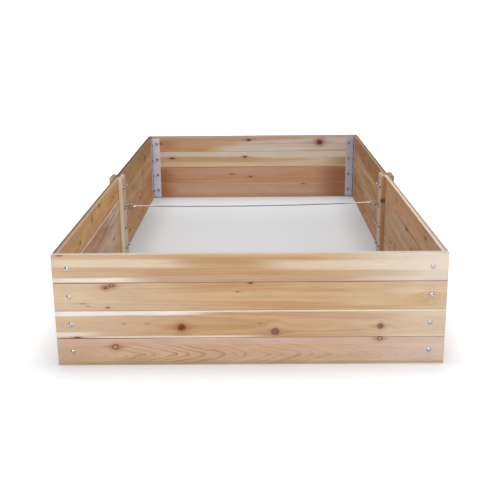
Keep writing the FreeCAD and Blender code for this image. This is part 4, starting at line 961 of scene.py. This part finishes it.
def refit(node, kind, material):
    """Builds the node's fasteners anew, each where its CAD solid is, with threads, chamfers and rolled edges."""
    verts, faces = [], []
    rnd = random.Random(len(node) * 31 + ord(node[0]))
    for points in separate_parts(NODES[node]):
        low, high = extent(points)
        size = high - low
        middle = (low + high) / 2
        if kind == "bolt":
            axis = max(range(3), key=lambda i: size[i])
            wide = [p for p in points if max(abs((p - middle)[i]) for i in range(3) if i != axis) > 7.0]
            way = 1 if sum(p[axis] for p in wide) / len(wide) > middle[axis] else -1
            base = middle.copy()
            base[axis] = (high[axis] - 3.4) if way > 0 else (low[axis] + 3.4)
            length = size[axis] - 3.4
            shape = carriage_bolt(length, 9.0 if length < 50 else 16.0)
            spin = rnd.uniform(-0.04, 0.04)
        elif kind == "eye":
            axis = 0
            way = -1 if middle[0] > 0 else 1
            base = middle.copy()
            base[0] = (high[0] - 95.4) if way < 0 else (low[0] + 95.4)
            shape = eye_bolt(size[2] > size[1])
            spin = 0.0
        else:
            axis = min(range(3), key=lambda i: size[i])
            way, base = 1, middle
            shape = hex_nut() if kind == "nut" else flat_washer()
            spin = 0.0
        across = [i for i in range(3) if i != axis]
        if kind == "nut" and size[across[0]] > size[across[1]]:
            spin = math.pi / 2                          # its flats face along the other cross axis
        start = len(verts)
        c, sn = math.cos(spin), math.sin(spin)
        for u, v, w in shape[0]:
            out = [0.0, 0.0, 0.0]
            out[across[0]] = base[across[0]] + u * c - v * sn
            out[across[1]] = base[across[1]] + (u * sn + v * c) * way
            out[axis] = base[axis] + w * way
            verts.append(tuple(k / 1000.0 for k in out))
        faces += [tuple(start + i for i in f) for f in shape[1]]
    mesh = bpy.data.meshes.new("fitted_" + node)
    mesh.from_pydata(verts, [], faces)
    mesh.validate()
    for poly in mesh.polygons:
        poly.use_smooth = True
    mesh.set_sharp_from_angle(angle=math.radians(34))
    obj = bpy.data.objects.new("fitted_" + node, mesh)
    SCENE.collection.objects.link(obj)
    bm = bmesh.new()
    bm.from_mesh(mesh)
    bmesh.ops.recalc_face_normals(bm, faces=bm.faces)
    bm.to_mesh(mesh)
    bm.free()
    mesh.materials.append(material)
    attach(obj, "root")
    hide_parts(node)
    return obj


for node in sorted(NODES):
    if node.endswith("_corner_bolts") or node.endswith("_splice_bolts"):
        refit(node, "bolt", HEAD)
    elif node.endswith("_nuts"):
        refit(node, "nut", EYE if "eye" in node else CORNER if "corner" in node else NUT)
    elif node.endswith("_washers"):
        refit(node, "washer", EYE if "eye" in node else CORNER if "corner" in node else NUT)
    elif node.endswith("_eye_bolt"):
        refit(node, "eye", EYE)


# ------------------------------------------------------------ floor, light
def floor_material():
    g = Graph("studio_floor")
    x, y, z = g.split(g.object_xyz())
    fine = g.noise(g.xyz(x * 3.0, y * 3.0, 0.0), 1.0, 3.0)
    # Painted shade: the floor under the bed is darker than the paper round it, darker still near the side walls and
    # lighter toward the back.
    inside = (1.0 - g.step(x.abs(), 0.590, 0.606)) * (1.0 - g.step(y.abs(), 1.200, 1.214))
    painted_bed_shade = g.mix(g.step(x.abs(), 0.40, 0.58), (0.73, 0.75, 0.77, 1.0), (0.62, 0.66, 0.69, 1.0))
    painted_bed_shade = g.mix(g.step(y, 0.55, 1.15), painted_bed_shade, (0.81, 0.88, 0.94, 1.0))
    colour = g.mix(inside, (0.90, 0.93, 0.97, 1.0), painted_bed_shade)
    colour = g.gain(colour, 0.995 + fine * 0.01)
    # Painted light: away from the bed the floor glows, so it stays white to the horizon; the glow fades toward the bed,
    # painting a soft shadow round its base, and is a little stronger to the right.
    away = ((x.abs() - 0.61).max(0.0)) + ((y.abs() - 1.22).max(0.0)) + g.step(x, 0.1, 0.7) * 0.05
    glow = g.step(away, -0.25, 0.8)
    # Seen in reflections, the floor is dimmed to half, a painted darkening of its reflection in the metal.
    mirrored = Val(g, g.node("ShaderNodeLightPath").outputs["Is Glossy Ray"])
    dimmed = 1.0 - mirrored * 0.50
    material = g.surface(g.gain(colour, dimmed), 0.9, specular=0.05)
    shader = [n for n in g.t.nodes if n.type == "BSDF_PRINCIPLED"][0]
    shader.inputs["Emission Color"].default_value = (0.965, 0.99, 1.0, 1.0)
    g.link(glow * (1.0 - inside) * 0.95 * dimmed, shader.inputs["Emission Strength"])
    return material


floor_mesh = bpy.data.meshes.new("studio_floor")
size = 60.0
floor_mesh.from_pydata(
    [(-size, -size, 0), (size, -size, 0), (size, size, 0), (-size, size, 0)], [], [(0, 1, 2, 3)]
)
floor = bpy.data.objects.new("studio_floor", floor_mesh)
SCENE.collection.objects.link(floor)
floor.location.z = -0.0004
floor_mesh.materials.append(floor_material())

world = bpy.data.worlds.new("studio")
SCENE.world = world
world.use_nodes = True
wt = world.node_tree
wt.nodes.clear()
w_out = wt.nodes.new("ShaderNodeOutputWorld")
w_cam = wt.nodes.new("ShaderNodeBackground")
w_cam.inputs[0].default_value = (1, 1, 1, 1)
w_cam.inputs[1].default_value = 1.2
w_env = wt.nodes.new("ShaderNodeBackground")
w_coord = wt.nodes.new("ShaderNodeTexCoord")
w_sep = wt.nodes.new("ShaderNodeSeparateXYZ")
w_ramp = wt.nodes.new("ShaderNodeValToRGB")
wt.links.new(w_coord.outputs["Generated"], w_sep.inputs[0])
wt.links.new(w_sep.outputs[2], w_ramp.inputs[0])
ramp = w_ramp.color_ramp
ramp.elements[0].position, ramp.elements[0].color = 0.0, (0.42, 0.42, 0.43, 1)
ramp.elements[1].position, ramp.elements[1].color = 1.0, (0.92, 0.93, 0.95, 1)
ramp.elements.new(0.30).color = (0.56, 0.56, 0.57, 1)
ramp.elements.new(0.62).color = (0.82, 0.83, 0.85, 1)
wt.links.new(w_ramp.outputs[0], w_env.inputs[0])
w_env.inputs[1].default_value = 0.45
w_path = wt.nodes.new("ShaderNodeLightPath")
w_mix = wt.nodes.new("ShaderNodeMixShader")
# Painted reflection: glossy rays see a darker room, with a bright ceiling and a black flag on the left, which diffuse
# light and the camera don't see.
w_room = wt.nodes.new("ShaderNodeBackground")
w_side = wt.nodes.new("ShaderNodeMapRange")
for socket, value in (("From Min", -0.55), ("From Max", 0.55), ("To Min", 0.06), ("To Max", 1.70)):
    w_side.inputs[socket].default_value = value
wt.links.new(w_sep.outputs[0], w_side.inputs["Value"])
wt.links.new(w_side.outputs["Result"], w_room.inputs[1])
w_dark = wt.nodes.new("ShaderNodeValToRGB")
wt.links.new(w_sep.outputs[2], w_dark.inputs[0])
room = w_dark.color_ramp
room.elements[0].position, room.elements[0].color = 0.0, (0.10, 0.10, 0.11, 1)
room.elements[1].position, room.elements[1].color = 1.0, (0.95, 0.96, 0.98, 1)
room.elements.new(0.32).color = (0.07, 0.07, 0.08, 1)
room.elements.new(0.56).color = (0.30, 0.30, 0.32, 1)
room.elements.new(0.76).color = (0.92, 0.93, 0.95, 1)
wt.links.new(w_dark.outputs[0], w_room.inputs[0])
w_seen = wt.nodes.new("ShaderNodeMixShader")
wt.links.new(w_path.outputs["Is Glossy Ray"], w_seen.inputs[0])
wt.links.new(w_env.outputs[0], w_seen.inputs[1])
wt.links.new(w_room.outputs[0], w_seen.inputs[2])
wt.links.new(w_path.outputs["Is Camera Ray"], w_mix.inputs[0])
wt.links.new(w_seen.outputs[0], w_mix.inputs[1])
wt.links.new(w_cam.outputs[0], w_mix.inputs[2])
wt.links.new(w_mix.outputs[0], w_out.inputs[0])


def softbox(name, at, to, sx, sy, watts, colour=(1.0, 0.985, 0.965)):
    light = bpy.data.lights.new(name, "AREA")
    light.shape = "RECTANGLE"
    light.size, light.size_y = sx, sy
    light.energy = watts
    light.color = colour
    obj = bpy.data.objects.new(name, light)
    SCENE.collection.objects.link(obj)
    obj.location = at
    obj.rotation_euler = (Vector(to) - Vector(at)).to_track_quat("-Z", "Y").to_euler()
    return obj


softbox("overhead", (0.0, 0.7, 5.2), (0.0, 0.5, 0.0), 5.0, 6.0, 186)
softbox("front_fill", (-1.2, -6.5, 3.0), (0.0, -0.6, 0.2), 4.0, 2.6, 88)
softbox("front_right", (3.4, -5.6, 2.8), (0.0, -0.4, 0.2), 1.6, 1.6, 30)

SCENE.view_settings.view_transform = "Standard"
SCENE.view_settings.look = "None"

# ------------------------------------------------------------------- camera
yaw, pitch, roll = math.radians(-0.5502), math.radians(16.2972), math.radians(-0.5582)
look = Vector((math.sin(yaw) * math.cos(pitch), math.cos(yaw) * math.cos(pitch), -math.sin(pitch)))
right = Vector((math.cos(yaw), -math.sin(yaw), 0.0))
up = right.cross(look)
right, up = (
    right * math.cos(roll) + up * math.sin(roll),
    up * math.cos(roll) - right * math.sin(roll),
)
camera_data = bpy.data.cameras.new("camera")
camera = bpy.data.objects.new("camera", camera_data)
SCENE.collection.objects.link(camera)
camera_data.sensor_width = 36.0
camera_data.lens = 832.20 * 36.0 / 500.0
camera_data.clip_start, camera_data.clip_end = 0.05, 200.0
camera.matrix_world = Matrix((
    (right.x, up.x, -look.x, 0.0250),
    (right.y, up.y, -look.y, -3.6521),
    (right.z, up.z, -look.z, 1.0890),
    (0.0, 0.0, 0.0, 1.0),
))
SCENE.camera = camera
